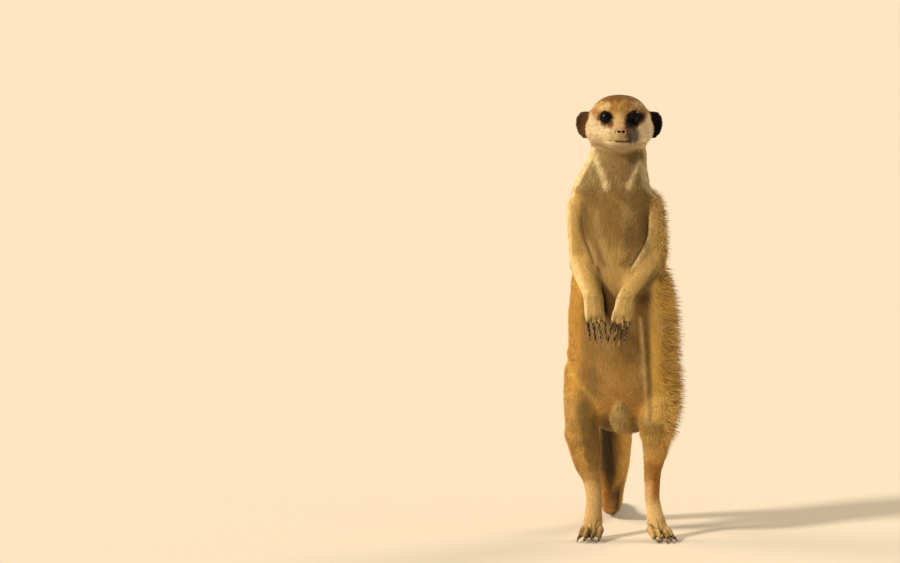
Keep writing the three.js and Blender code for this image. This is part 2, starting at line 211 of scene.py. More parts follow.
def spread(values, edges, rounds, strength=1.0):  # evens values out over the surface, edge by edge
    here = np.concatenate([edges[:, 0], edges[:, 1]])
    there = np.concatenate([edges[:, 1], edges[:, 0]])
    table = np.array(values, float).reshape(len(values), -1)
    count = np.maximum(np.bincount(here, minlength=len(table)), 1)[:, None]
    share = np.broadcast_to(strength, len(table))[:, None]
    for turn in range(rounds):
        sums = [np.bincount(here, column[there], minlength=len(table)) for column in table.T]
        table = table + (np.stack(sums, axis=1) / count - table) * share
    return table.reshape(np.shape(values))


class Surface:  # the skin: its places, what lies where on it, and values evened out over a real distance
    def __init__(self, mesh):
        self.places, self.edges = placesOf(mesh), edgesOf(mesh)
        self.x, self.z = self.places[:, 0] / mm, self.places[:, 2] / mm
        gap = np.linalg.norm(self.places[self.edges[:, 0]] - self.places[self.edges[:, 1]], axis=1)
        ends = self.edges.ravel()
        count = np.maximum(np.bincount(ends, minlength=len(self.places)), 1)
        spacing = np.bincount(ends, np.repeat(gap, 2), minlength=len(self.places)) / count
        self.share = np.clip((skin["voxel"] * mm / np.maximum(spacing, 1e-6)) ** 2, 0, 1)

    def soften(self, values, reach):  # reach in mm
        return spread(values, self.edges, math.ceil(2 * (reach / skin["voxel"]) ** 2), self.share)

    def know(self, normals, labels):  # which way the skin faces, and the node that each vertex belongs to
        self.normals, self.labels = normals, labels
        self.facing, self.outward = normals @ ahead, np.sign(self.x) * (normals @ leftward)

    def on(self, reach, *kinds):  # 1 on these kinds of node, softened over the reach
        return self.soften(perNode(self.labels, dict.fromkeys(kinds, 1.0)), reach)


def storeColour(mesh, name, colours):
    full = np.ones((len(colours), 4), np.float32)
    full[:, :3] = colours
    mesh.attributes.new(name, "FLOAT_COLOR", "POINT").data.foreach_set("color", full.ravel())


def storeValue(mesh, name, values):
    mesh.attributes.new(name, "FLOAT", "POINT").data.foreach_set("value", values.astype(np.float32))


# camera, floor and light

shot = {
    "elevation": 6,  # degrees above the horizon
    "distance": 4.0,
    "width": 0.6713,  # what the frame takes in at the animal
    "aim": (-0.1272, -0.0693, 0.1939),  # the animal stands to the right of the middle
    "sensor": 36,
    "clip": (0.05, 60),
}
studio = {
    "floor": 50,  # metres from side to side
    "paper": "#d9d0c0",
    "air": ("#fffaf2", 0.30),  # colour and strength
    "lampDistance": 3,
    # azimuth and elevation seen from the animal, softness in degrees, strength, colour
    "lamps": {
        "key": (-55, 32, 9, 3.6, "#fff0d8"),
        "fill": (60, 20, 40, 0.22, "#ffeccf"),
        "edge": (-108, 26, 30, 1.8, "#ffe9c8"),
        "rim": (132, 34, 30, 1.5, "#ffe9c8"),
    },
}


def around(azimuth, elevation, distance):  # a place seen from the animal; azimuth 0 is straight ahead of it
    a, e = math.radians(azimuth), math.radians(elevation)
    return Vector((math.sin(a) * math.cos(e), -math.cos(a) * math.cos(e), math.sin(e))) * distance


def turnTo(thing, way):  # turns a camera or a lamp to look along the way
    thing.rotation_euler = way.to_track_quat("-Z", "Y").to_euler()


def makeStudio():
    scene = bpy.context.scene
    aim = Vector(shot["aim"])
    camera = bpy.data.objects.new("camera", bpy.data.cameras.new("camera"))
    scene.collection.objects.link(camera)
    camera.location = aim + around(0, shot["elevation"], shot["distance"])
    turnTo(camera, aim - camera.location)
    camera.data.sensor_width = shot["sensor"]
    camera.data.lens = shot["sensor"] * shot["distance"] / shot["width"]
    camera.data.clip_start, camera.data.clip_end = shot["clip"]
    scene.camera = camera
    scene.view_settings.view_transform = "Standard"  # colours come out as they were mixed

    for name, (azimuth, elevation, softness, strength, colour) in studio["lamps"].items():
        lamp = bpy.data.lights.new(name, "SUN")
        lamp.energy, lamp.angle, lamp.color = strength, math.radians(softness), linear(colour)
        light = bpy.data.objects.new(name, lamp)
        scene.collection.objects.link(light)
        light.location = around(azimuth, elevation, studio["lampDistance"])
        turnTo(light, -light.location)

    world = bpy.data.worlds.new("studio air")
    world.use_nodes = True
    colour, strength = studio["air"]
    background = world.node_tree.nodes["Background"]
    background.inputs["Color"].default_value = (*linear(colour), 1)
    background.inputs["Strength"].default_value = strength
    scene.world = world

    # Matte paper roll: even and pale, with a trace of fibre so that it isn't a dead flat colour.
    paper, tree = newMaterial("matte paper roll")
    tint = linear(studio["paper"])
    showShader(tree, {"Base Color": mixed(tree, noiseIn(tree, 180, 3), tint * 0.97, tint * 1.02),
                      "Roughness": 0.9, "Specular IOR Level": 0.2})
    half = studio["floor"] / 2
    mesh = bpy.data.meshes.new("floor")
    corners = [(-half, -half, 0), (half, -half, 0), (half, half, 0), (-half, half, 0)]
    mesh.from_pydata(corners, [], [(0, 1, 2, 3)])
    addObject("floor", mesh, paper)


makeStudio()
print("studio set up")

# where things are on the head and the trunk

eyeMiddle = middleOf("eye_left", "eye_right")
eyeSet = 2  # mm that the level head's own zero lies behind the middle between the eyes
nod = math.radians(3)  # the muzzle dips by this much
headHeight = 280  # mm: what is higher belongs to the head
bodyTurn = math.radians(-5)  # the chest faces a little to the animal's right
ahead = np.array([math.sin(bodyTurn), -math.cos(bodyTurn), 0])
leftward = np.array([math.cos(bodyTurn), math.sin(bodyTurn), 0])
bellyFront = np.array([0, -80 * mm, 0])


def sideOf(places):  # mm to the animal's left of the middle of its belly
    return (places - bellyFront) @ leftward / mm


def onHead(places):  # mm on the level head: x to its left, y behind the eyes, z above them
    x, y, z = np.moveaxis((places - eyeMiddle) / mm, -1, 0)
    c, s = math.cos(nod), math.sin(nod)
    return np.stack([x, y * c + z * s - eyeSet, z * c - y * s], axis=-1)


def fromHead(local):  # back from the level head's mm to metres in the frame
    x, y, z = local[..., 0], local[..., 1] + eyeSet, local[..., 2]
    c, s = math.cos(nod), math.sin(nod)
    return eyeMiddle + np.stack([x, y * c - z * s, z * c + y * s], axis=-1) * mm


def offLine(places, line):  # mm to the animal's left of a line: its points are height and sideways place
    heights, across = np.array(line[::-1]).T
    return places[:, 0] / mm - np.interp(places[:, 2] / mm, heights, across)


def kindOf(name):
    return name.replace("_left", "").replace("_right", "")


# skin: one closed surface grown from all the nodes of flesh, under the coat

skin = {
    "pieces": [name for name in sorted(nodes) if not name.startswith(("claw", "eye"))],
    "voxel": 0.62,  # mm
    "swell": 0.4,  # mm that each node grows first, so that the gaps between neighbours close
    "probe": 1.6,  # square mm of a node for each point that stands for it when the nearest node is looked up
    "triangles": 152000,
    "rounds": 110,  # of smoothing at the most
    "groin": {"place": (-0.4, 91), "half": (8.6, 14.5), "rise": 2.9},  # side and height, half sizes, mm
    # where the chest's coat meets the arm's, as height and sideways place, mm
    "armLine": {"left": ((262, 22.5), (245, 20.5), (230, 19.4), (222, 16.3), (212, 10), (202, 3.7)),
                "right": ((262, -31.6), (248, -30.8), (238, -30.2), (231, -29.2), (225, -27.4), (219, -25),
                          (212, -22.4), (205, -19.8), (198, -17.4))},
    "creases": {"arm": 1.5, "digit": 1.1},  # depth, mm
    # hollows over the right shoulder and the right hip that the coat fills: place and filling, mm
    "hollows": ((-34, 265, 2.2), (-40.5, 139, 1.6)),
    # how much of the smoothing each kind of node takes, and how much of its surface may be thinned out
    "smoothing": {"head": 0.13, "lower_jaw": 0.08, "nose": 0.03, "ear": 0.04, "neck": 0.7, "chest": 1,
                  "belly": 1, "upper_arm": 0.5, "forearm": 0.35, "hand": 0.035, "thigh": 0.8, "shank": 0.35,
                  "foot": 0.04, "tail_root": 0.6, "tail_prop": 0.5, "tail_rear": 0.5, "tail_tip": 0.4},
    "thinning": {"head": 0.25, "lower_jaw": 0.2, "nose": 0, "ear": 0.25, "hand": 0.2, "foot": 0.2,
                 "neck": 0.55, "chest": 0.55, "belly": 0.55, "thigh": 0.7, "upper_arm": 0.7, "shank": 0.7},
}
# kind: hair length and width (mm), lift (degrees), tufts for each square mm, depth of the coat (mm)
lie = {
    "head": (2.2, 0.30, 11, 4.0, 0.6),
    "lower_jaw": (1.8, 0.28, 10, 4.0, 0.5),
    "nose": (0.8, 0.25, 5, 0, 0.15),
    "ear": (1.7, 0.30, 12, 4.0, 0.3),
    "neck": (4.4, 0.42, 12, 2.1, 0.9),
    "chest": (4.6, 0.42, 7, 1.9, 1.0),
    "belly": (4.2, 0.40, 6, 1.8, 0.9),
    "upper_arm": (4.2, 0.42, 12, 2.1, 0.9),
    "forearm": (3.4, 0.38, 10, 2.5, 0.6),
    "hand": (1.9, 0.30, 9, 3.4, 0.4),
    "thigh": (5.0, 0.44, 12, 1.7, 1.1),
    "shank": (3.6, 0.38, 11, 2.3, 0.5),
    "foot": (1.9, 0.32, 9, 3.3, 0.4),
    "tail_root": (5.2, 0.48, 15, 1.6, 1.1),
    "tail_prop": (4.2, 0.44, 12, 1.8, 0.6),
    "tail_rear": (4.2, 0.44, 12, 1.8, 0.6),
    "tail_tip": (4.8, 0.44, 15, 2.1, 0.8),
}
# the same on the flanks and back, where the coat is longest
longLie = {
    "chest": (8.0, 0.48, 20, 1.45, 2.2),
    "belly": (10.0, 0.50, 24, 1.4, 3.0),
    "thigh": (9.0, 0.48, 22, 1.5, 2.2),
    "upper_arm": (5.6, 0.44, 22, 2.0, 1.1),
}
# columns of those rows, and the share of guard hair, which is added to them later
hairLength, hairWidth, hairLift, density, coatDepth, guardShare = range(6)


def mergedCopy(name, grow=0.0):  # a node's own mesh is loose triangles, so a copy is merged
    shell = bmesh.new()
    shell.from_mesh(nodes[name].data)
    bmesh.ops.remove_doubles(shell, verts=shell.verts, dist=0.01 * mm)
    shell.normal_update()
    for vertex in shell.verts:
        vertex.co += vertex.normal * grow
    mesh = bpy.data.meshes.new(name)
    shell.to_mesh(mesh)
    shell.free()
    return mesh


def joined(names, grow, title):  # the nodes' surfaces in one mesh, each grown by some mm
    shell = bmesh.new()
    for name in names:
        shell.from_mesh(mergedCopy(name, grow * mm))
    mesh = bpy.data.meshes.new(title)
    shell.to_mesh(mesh)
    shell.free()
    return mesh


def nodeFinder():  # says for a place which node's surface is the nearest
    found, codes = [], []
    for code, name in enumerate(skin["pieces"]):
        mesh = mergedCopy(name)
        mesh.calc_loop_triangles()
        corners = np.empty(len(mesh.loop_triangles) * 3, np.int32)
        mesh.loop_triangles.foreach_get("vertices", corners)
        a, b, c = placesOf(mesh)[corners.reshape(-1, 3)].transpose(1, 0, 2)
        area = triangleAreas(a, b, c)
        count = int(area.sum() / (skin["probe"] * mm * mm)) + 50
        wanted = (np.arange(count) + 0.5) / count * area.sum()
        pick = np.searchsorted(np.cumsum(area), wanted).clip(0, len(area) - 1)
        u, v = (share[:, None] for share in randomShares(count))
        found.append(a[pick] + (b - a)[pick] * u + (c - a)[pick] * v)
        codes += [code] * count
    tree, codes = nearestOf(np.concatenate(found)), np.array(codes)
    return lambda places: codes[np.array([tree.find(place)[1] for place in places])]


def perNode(labels, table, fallback=0.0):  # a table by kind, read for each vertex
    rows = [table.get(kindOf(name), fallback) for name in skin["pieces"]]
    return np.array(rows, float)[labels]


def keepLargest(mesh):  # leaves the outer surface, without the closed pockets inside it
    shell = bmesh.new()
    shell.from_mesh(mesh)
    left, best = set(shell.verts), []
    while left:
        stack = [left.pop()]
        island = []
        while stack:
            vertex = stack.pop()
            island.append(vertex)
            for edge in vertex.link_edges:
                other = edge.other_vert(vertex)
                if other in left:
                    left.discard(other)
                    stack.append(other)
        if len(island) > len(best):
            best = island
    keep = set(best)
    bmesh.ops.delete(shell, geom=[vertex for vertex in shell.verts if vertex not in keep], context="VERTS")
    shell.to_mesh(mesh)
    shell.free()


def pastArmLine(places):  # mm outwards over the line between chest and arm, for the nearer arm
    return np.maximum(*[offLine(places, skin["armLine"][name]) * side for name, side in sides.items()])


def inGroin(places):  # 1 at the rim of the bulge between the thighs, less inside it
    (x, z), (wide, high) = skin["groin"]["place"], skin["groin"]["half"]
    up = (places[:, 2] / mm - z) / high
    narrow = 1 - 0.28 * ramp(-0.2, 1, up)  # it is slimmer at the top
    return np.hypot((sideOf(places) - x) / (wide * narrow), up)


def betweenDigits(places, labels, paw):  # 1 in the middle of the gap between two fingers or toes
    x, y, z = places.T / mm
    gap = np.zeros(len(places))
    for side in sides:
        tips = [middleOf(f"claw_{paw}_{side}_{i}") / mm for i in digits]
        mine = perNode(labels, {paw: 1.0}) * (np.sign(x) == sides[side])
        for a, b in zip(tips[:-1], tips[1:]):
            middle, way = (a + b) / 2, unit((b - a)[:2])
            off = (x - middle[0]) * way[0] + (y - middle[1]) * way[1]
            reach = ramp(17, 8, z - middle[2]) if paw == "hand" else ramp(17, 12, y - middle[1])
            gap = np.maximum(gap, mine * hump(off, 0, 0.75) * reach)
    return gap


def crease(places, labels, normals):  # mm that the folds of the body lie under the rest of the skin
    z, facing = places[:, 2] / mm, normals @ ahead
    off = pastArmLine(places)
    arm = hump(off, 0, 1.3) * ramp(204, 210, z) * ramp(252, 240, z) * ramp(-0.2, 0.3, facing)
    depth = skin["creases"]["arm"] * arm
    for paw in ("hand", "foot"):
        depth += skin["creases"]["digit"] * betweenDigits(places, labels, paw)
    ring = inGroin(places)
    front = ramp(0.1, 0.5, facing)
    for x, height, filling in skin["hollows"]:
        away = np.hypot(places[:, 0] / mm - x, z - height)
        depth -= filling * hump(away, 0, 4.5) * ramp(-0.5, 0, facing)
    return depth + front * (0.8 * hump(ring, 1.08, 0.13) * ramp(0.2, -0.6, (z - 91) / 14)
                            - skin["groin"]["rise"] * np.sqrt(np.clip(1 - ring ** 2, 0, 1)))


def flankness(normals):  # 0 on the belly side, 1 on the flanks and the back
    return 1 - ramp(0.52, 0.80, normals @ ahead)


def coatRow(labels, normals):  # length, width, lift, density and depth for each vertex
    row = perNode(labels, lie)
    longer = perNode(labels, {**lie, **longLie})
    return blend(row, longer, flankness(normals))


def growSkin():
    raw = joined(skin["pieces"] + ["eye_left", "eye_right"], skin["swell"], "raw skin")
    mesh = modified(addObject("raw skin", raw), "skin", "REMESH", mode="VOXEL", voxel_size=skin["voxel"] * mm)
    keepLargest(mesh)
    edges, places = edgesOf(mesh), placesOf(mesh)
    labels = findNode(places)
    print("skin joined:", len(places), "vertices")

    share = perNode(labels, skin["smoothing"])
    share += 0.3 * perNode(labels, {"foot": 1}) * ramp(9, 15, places[:, 2] / mm)
    share = spread(share, edges, 12)
    # the back of the head is round
    share += 0.45 * perNode(labels, {"head": 1}) * ramp(2, 12, onHead(places)[:, 1])
    places = spread(places, edges, skin["rounds"], share)
    moveTo(mesh, places)
    normals = unit(spread(normalsOf(mesh), edges, 6))
    depth = spread(coatRow(labels, normals)[:, coatDepth], edges, 40) + skin["swell"]
    depth += spread(crease(places, labels, normals), edges, 2)
    places = places - normals * depth[:, None] * mm
    places[:, 2] = np.maximum(places[:, 2], 0.05 * mm)
    moveTo(mesh, places)

    thing = addObject("skin", mesh)
    group = thing.vertex_groups.new(name="thinning")
    weights = np.where(normals @ ahead < -0.15, 1, perNode(labels, skin["thinning"], 1.0))  # coarser behind
    weights = np.round(spread(weights, edges, 10), 1)
    for weight in np.unique(weights):
        group.add(np.flatnonzero(weights == weight).tolist(), float(weight), "REPLACE")
    ratio = skin["triangles"] / (2 * len(mesh.polygons))
    result = modified(thing, "skin", "DECIMATE", ratio=ratio, vertex_group="thinning")
    print("skin thinned out:", len(result.polygons), "faces")
    return result


findNode = nodeFinder()
skinMesh = growSkin()

# face: lids, nostrils and mouth, cut into the skin

face = {
    "eyeRadius": 4.85,
    "opening": (3.3, 2.95, 3.1),  # half width, height above and height below the middle of the eye, mm
    "gaze": (0.26, -1, 0.04),
    "lidEdge": 5.45,  # how far from the eye's centre the lids' edge stands
    # reach of the dark patch round the left eye (1) and the right eye (-1), mm, every 45 degrees: outwards,
    # up, towards the nose, down and back to outwards
    # the left patch reaches further down towards the nose partly as painted shade, which runs into the painted
    # shadow beside the muzzle
    "eyePatch": {1: (8.6, 6.0, 5.0, 5.4, 6.8, 9.8, 8.2, 6.4, 8.6),
                 -1: (6.2, 5.0, 4.5, 4.6, 5.2, 6.4, 7.2, 6.0, 6.2)},
    "muzzleSide": (11.5, -13, -8, 5.5, 2.0),  # place, reach and depth of the hollow beside the muzzle
    "nose": (0, -29.6, -7.4),  # middle of the leather
    "noseHalf": (4.5, 3.6, 3.6),
    "noseRoot": (0, -24, -7.4),
    "noseSwell": 0.6,  # mm that the leather stands out
    "nostrils": (1.65, -31.2, -7.4, 1.1, 1.8),  # place, radius, depth
    "cleft": 0.25,  # depth of the line under the nose
    "ear": (24.9, 10, -7.9),  # middle of the ear's hollow
    "earHalf": (5.2, 8.2),
    "earDepth": 1.3,
    # y and z of the lips' line
    "mouth": ((-34, -14.8), (-24, -15.2), (-17, -16.8), (-12, -16.6), (-8.5, -15.4)),
    "mouthWidth": 0.55,
    "mouthDepth": 0.6,
}


def eyeFrame(side):  # centre, direction of gaze, across and up, on the level head
    centre = onHead(middleOf("eye_left" if side > 0 else "eye_right"))
    x, y, z = face["gaze"]
    gaze = unit(np.array([x * side, y, z]))
    up = unit(np.array([0, 0, 1]) - gaze * gaze[2])
    return centre, gaze, np.cross(up, gaze), up


def lidRing(local, side):  # 1 at the lids' edge, less inside; also the distance from the eye's centre
    centre, gaze, across, up = eyeFrame(side)
    d = local - centre
    r = np.linalg.norm(d, axis=-1)
    way = d / np.maximum(r, 1e-9)[..., None]
    a, b = (np.arcsin(np.clip(way @ v, -1, 1)) * face["eyeRadius"] for v in (across, up))
    wide, above, below = face["opening"]
    ring = np.sqrt((a / wide) ** 2 + (b / np.where(b > 0, above, below)) ** 2)
    return np.where(way @ gaze > 0.1, ring, 9.0), r, b


def refine(mesh, local, spots):  # halves the edges round each spot
    shell = bmesh.new()
    shell.from_mesh(mesh)
    near = np.zeros(len(local), bool)
    for place, radius in spots:
        near |= np.linalg.norm(local - place, axis=1) < radius
    shell.verts.ensure_lookup_table()
    edges = [edge for edge in shell.edges if near[edge.verts[0].index] and near[edge.verts[1].index]]
    bmesh.ops.subdivide_edges(shell, edges=edges, cuts=1, use_grid_fill=True)
    bmesh.ops.triangulate(shell, faces=[polygon for polygon in shell.faces if len(polygon.verts) > 3])
    shell.to_mesh(mesh)
    shell.free()


def mouthGap(local):  # height over the lips' line, mm
    y, z = np.array(face["mouth"]).T
    return local[:, 2] - np.interp(local[:, 1], y, z)


def noseReach(local):  # 1 at the edge of the nose leather
    return np.linalg.norm((local - face["nose"]) / face["noseHalf"], axis=1)


def nosePad(local):  # bare leather at the tip of the nose
    return ramp(1.22, 1.05, noseReach(local))


def carveEyes(local):
    for side in sides.values():
        centre = eyeFrame(side)[0]
        ring, r, above = lidRing(local, side)
        edge = face["lidEdge"] + (r - face["lidEdge"]) * ramp(1.15, 2.0, ring)
        edge = edge - 0.35 * hump(ring, 1.5, 0.12) * ramp(-1, 2, above)  # the fold over the upper lid
        edge = edge - 0.2 * hump(ring, 1.55, 0.14) * ramp(0, -2, above)
        wanted = np.where(ring < 1, face["eyeRadius"] - 0.9, edge)
        move = (r < 11) & (ring < 2)
        local[move] = (centre + (local - centre) / r[:, None] * wanted[:, None])[move]


def carveNose(local):
    x, y, z, radius, depth = face["muzzleSide"]
    for side in sides.values():
        away = np.linalg.norm(local - [x * side, y, z], axis=1)
        local += hump(away, 0, radius)[:, None] * [-0.45 * side * depth, 0.9 * depth, 0]
    edge = noseReach(local)
    pad = ramp(1.25, 0.95, edge) - 0.9 * hump(edge, 1.34, 0.13) * ramp(-11, -8, local[:, 2])
    local += unit(local - face["noseRoot"]) * (face["noseSwell"] * pad)[:, None]
    x, y, z, radius, depth = face["nostrils"]
    for side in sides.values():
        reach = np.linalg.norm((local - [x * side, y, z]) / [1.15, 2, 0.85], axis=1)
        local[:, 1] += depth * hump(reach, 0, radius)
    x, y, z = local.T
    cleft = hump(x, 0, 0.3) * ramp(-27, -29, y) * ramp(-8, -9, z) * ramp(-15, -13.5, z)
    local[:, 1] += face["cleft"] * cleft


def carveEars(local, normals):
    x, y, z = face["ear"]
    wide, high = face["earHalf"]
    for side in sides.values():
        d = local - [x * side, y, z]
        bowl = np.hypot(d[:, 0] / wide, d[:, 2] / high)
        front = ramp(0.1, 0.5, -normals[:, 1]) * (np.abs(d[:, 1]) < 9) * (np.abs(local[:, 0]) > 18)
        local[:, 1] += face["earDepth"] * front * np.sqrt(np.clip(1 - bowl ** 2, 0, 1))


def carveFace(mesh):
    eyes = [eyeFrame(side)[0] for side in sides.values()]
    nose = np.array([0, -29, -8])
    for aroundEyes, aroundNose in ((9, 7), (7, 4.5)):
        refine(mesh, onHead(placesOf(mesh)), [(place, aroundEyes) for place in eyes] + [(nose, aroundNose)])
    local, normals = onHead(placesOf(mesh)), normalsOf(mesh)
    carveEyes(local)
    carveNose(local)
    carveEars(local, normals)
    groove = hump(mouthGap(local), 0, face["mouthWidth"]) * ramp(-8.5, -13, local[:, 1])
    moveTo(mesh, fromHead(local) - normals * (groove * face["mouthDepth"] * mm)[:, None])
    shadeSmooth(mesh)


carveFace(skinMesh)
print("face carved:", len(skinMesh.vertices), "vertices,", len(skinMesh.polygons), "faces")

# markings, with painted light and shade: the colour of the coat at each place

fur = {
    "crown": "#5f390a", "crownEdge": "#573410", "forehead": "#a27a39", "rust": "#935a23",
    "headBack": "#9c7340", "bridge": "#bf9c67", "brow": "#d6bd8e", "cheek": "#cdb792", "cheekLeft": "#e9d2aa",
    "muzzle": "#b29a70", "muzzleShade": "#33342f", "pad": "#a08a62", "lips": "#d2b88e", "chin": "#b09a73",
    "mouthLine": "#2c1a0e",
    "noseLeather": "#b8946c", "noseEdge": "#3a2415", "nostril": "#0d0705",
    "eyeRing": "#6d4521", "eyeShade": "#3a2412", "eyeCore": "#060403",
    "earInside": "#543a18", "earRim": "#120b07", "earBack": "#4b3320", "earDark": "#030202",
    "earRimRight": "#38260f",
    "neckFront": "#8a6e45", "neckSide": "#c0b38c", "neckBack": "#98733f", "neckShade": "#8f7a4c",
    "neckDark": "#57492b", "collar": "#e4cd9c",
    "chestFront": "#816537", "chestLow": "#ad8b50", "chestSide": "#b08c52", "chestDark": "#66502a",
    "chestPale": "#b0925f", "deepShade": "#150f07",
    "bellyFront": "#805f2e", "bellyLow": "#a0763a", "bellyLine": "#c9a871", "bellyShade": "#6a562b",
    "flank": "#f5c45a", "flankGrey": "#e6bb68", "flankDark": "#8f6a2a", "flankSmooth": "#ab7f33",
    "back": "#a58352", "band": "#4d331b", "groin": "#a88c57", "groinEdge": "#8a6431",
    "upperArm": "#c29e5a", "armOuter": "#bc9d5d", "armLine": "#4a3319", "armRim": "#e8cd97",
    "armShade": "#8f7743", "armSleek": "#a98a4e", "forearm": "#c19e5c", "hand": "#b7985d",
    "thigh": "#967538", "thighFront": "#6b552c", "shank": "#d1a459", "shankDark": "#99622a",
    "kneeDark": "#8f6c3c", "kneeWarm": "#b57a33", "legPale": "#cda878",
    "foot": "#b39150", "footPale": "#dcb878", "toeShade": "#7a6538", "cleft": "#3d2b18",
    "tail": "#bf9248", "tailLow": "#a86f28", "tailPale": "#e0b260", "tailShade": "#1c1103",
    "tailTip": "#1e120a",
}
firstColour = {
    "head": "forehead", "lower_jaw": "chin", "nose": "muzzle", "ear": "earBack", "neck": "neckBack",
    "chest": "chestSide", "belly": "flank", "upper_arm": "upperArm", "forearm": "forearm", "hand": "hand",
    "thigh": "thigh", "shank": "shank", "foot": "foot", "tail_root": "tail", "tail_prop": "tail",
    "tail_rear": "tailLow", "tail_tip": "tailTip",
}
tone = {name: linear(colour) for name, colour in fur.items()}
# pale and dark lines on the coat, as height and sideways place on the animal's front, mm
lines = {
    "collarRight": ((290, -19.5), (283, -16.5), (278, -14.2), (272, -12), (266, -11)),
    "collarLeft": ((287, 14), (281, 10.5), (276, 8.4), (271, 5.5), (267, 4.5)),
    "shoulderLeft": ((284, 14.5), (276, 17), (270, 19.5), (262, 22.5)),
    "belly": ((170, 14), (150, 15.4), (135, 16.6), (120, 18), (105, 18.6), (88, 19.5)),
    # underArm is a painted shadow in the gap between the right forearm and the belly
    "underArm": ((208, -18.6), (196, -15.6), (185, -13.2), (170, -11)),
    "innerLeg": ((92, 12), (80, 14.6), (70, 16.8), (58, 18.6)),
    "outerLeg": ((58, 27.4), (44, 26.8), (28, 26.4)),
}
# soft patches: colour, sideways place and height, half sizes, strength
patches = {
    # neck: the first patch is painted shadow under the chin
    "neck": (("neckDark", 10, 290, 6, 4, 0.8), ("neckSide", 18, 275, 4, 10, 0.75)),
    # chest: the first chestDark patch is painted shade on the chest beside the right arm
    "chest": (("chestDark", -23, 259, 7, 10, 0.65), ("chestDark", 9, 230, 8, 13, 0.5),
              ("chestDark", 4, 262, 9, 5, 0.3), ("chestPale", -20, 237, 4.5, 13, 0.45),
              ("chestPale", -14, 211, 5.5, 12, 0.7), ("collar", -10.5, 269, 3.2, 3, 0.7),
              ("collar", 5.5, 269, 4, 2.6, 0.75)),
    # belly: the bellyFront patch on the right hip is painted shade over a lit ridge, and the deepShade patches
    # are painted shadow under the left elbow
    "belly": (("bellyShade", -22, 117, 6.5, 18, 0.7), ("bellyShade", -28, 97, 6.5, 12, 0.8),
              ("bellyFront", -28, 122, 6, 10, 0.6), ("bellyLine", 15, 131, 2.4, 9, 0.45),
              ("deepShade", 16.5, 190, 5.5, 9, 0.85), ("deepShade", 26, 203, 6, 5, 0.75),
              ("bellyLow", 2, 128, 12, 14, 0.3)),
}


def layers(colour, *coats):  # each named tone in turn over what is there, by its amounts
    for name, amount in coats:
        colour = blend(colour, tone[name], amount)
    return colour


def alongLine(places, name, width):  # 1 on the line, fading over the width and past both ends
    line = lines[name]
    z, top, low = places[:, 2] / mm, line[0][0], line[-1][0]
    return hump(offLine(places, line), 0, width) * ramp(low - 5, low + 5, z) * ramp(top + 3, top - 2, z)


def addPatches(colour, s, name, where):
    uneven = 1 + 0.25 * ripple(s.places, 9 * mm, 61)
    for shade, across, height, wide, high, strength in patches[name]:
        reach = np.hypot((s.x - across) / wide, (s.z - height) / high)
        colour = layers(colour, (shade, where * strength * ramp(1.5, 0.3, reach * uneven)))
    return colour


def backBands(places, normals):  # dark bars across the lower back, 13 mm apart
    side, z = sideOf(places), places[:, 2] / mm
    wave = np.cos(2 * math.pi * (z - 0.12 * abs(side)) / 13 + 0.7 * ripple(places, 30 * mm, 9))
    bars = ramp(0.0, 0.7, wave) * ramp(98, 112, z) * ramp(222, 200, z)
    return 0.88 * bars * ramp(-0.05, -0.5, normals @ ahead)


def paintTrunk(colour, s):
    places, x, z, side, facing = s.places, s.x, s.z, sideOf(s.places), s.facing
    wave, mottle = ripple(places, 30 * mm, 5), ripple(places, 13 * mm, 15)
    front = ramp(-0.15, 0.35, facing) * ramp(-32, -27, side + wave) * ramp(25, 20, side + wave)
    trunk = s.on(3, "chest", "belly", "neck", "tail_root")
    trunk = np.maximum(trunk, s.on(3, "thigh") * ramp(86, 98, z))
    seen = trunk * ramp(0.1, 0.4, facing)
    belly = layers(tone["bellyFront"], ("bellyLow", ramp(150, 105, z)),
                   ("bellyLine", (0.12 + 0.12 * mottle) * ramp(95, 110, z)))
    chest = layers(tone["chestFront"], ("chestLow", ramp(236, 208, z)),
                   ("bellyLine", 0.16 * ramp(0, 1, mottle) + 0.1 * ramp(0.1, 0.8, wave)))
    fore = blend(belly, chest, ramp(178, 200, z))
    flanks = layers(
        tone["flank"], ("flankGrey", 0.5 + 0.5 * wave), ("chestSide", ramp(190, 212, z)),
        ("flankSmooth", ramp(1, -1, x) * ramp(-0.75, -0.2, facing) * ramp(212, 196, z)),
        ("flankDark", 0.5 * ramp(26, 33, side) * ramp(0.75, 0.4, facing) * ramp(215, 200, z)),
        ("chestSide", 0.5 * ramp(122, 104, z) * ramp(-0.2, 0.2, facing)))
    back = blend(tone["back"], tone["headBack"], ramp(230, 270, z))
    colour = blend(colour, blend(blend(flanks, fore, front), back, ramp(0.1, -0.75, facing)), trunk)
    colour = layers(colour, ("band", backBands(places, s.normals) * trunk))
    colour = addPatches(colour, s, "chest", seen * ramp(190, 200, z))
    colour = addPatches(colour, s, "belly", seen)
    ring, under = inGroin(places), ramp(-0.2, -0.6, s.normals[:, 2]) * ramp(100, 94, z)
    colour = layers(
        colour, ("bellyShade", 0.5 * seen * alongLine(places - [3.4 * mm, 0, 0], "belly", 1.8)),
        ("bellyLine", 0.95 * seen * alongLine(places, "belly", 1.5)),
        ("deepShade", 0.97 * seen * alongLine(places, "underArm", 2.4)),
        # painted shade on the underside where it faces down, and round the lower rim of the bulge between the
        # thighs
        ("bellyShade", 0.75 * trunk * under),
        ("groinEdge", 0.8 * seen * ramp(1.5, 1.1, ring) * ramp(96, 84, z)))
    streak = ripple(places * [3.2, 1, 0.5], 4 * mm, 35)
    tuft = layers(tone["groin"], ("bellyShade", 0.8 * ramp(0.1, 0.8, streak)))
    return blend(colour, tuft, seen * ramp(1.08, 0.9, ring))


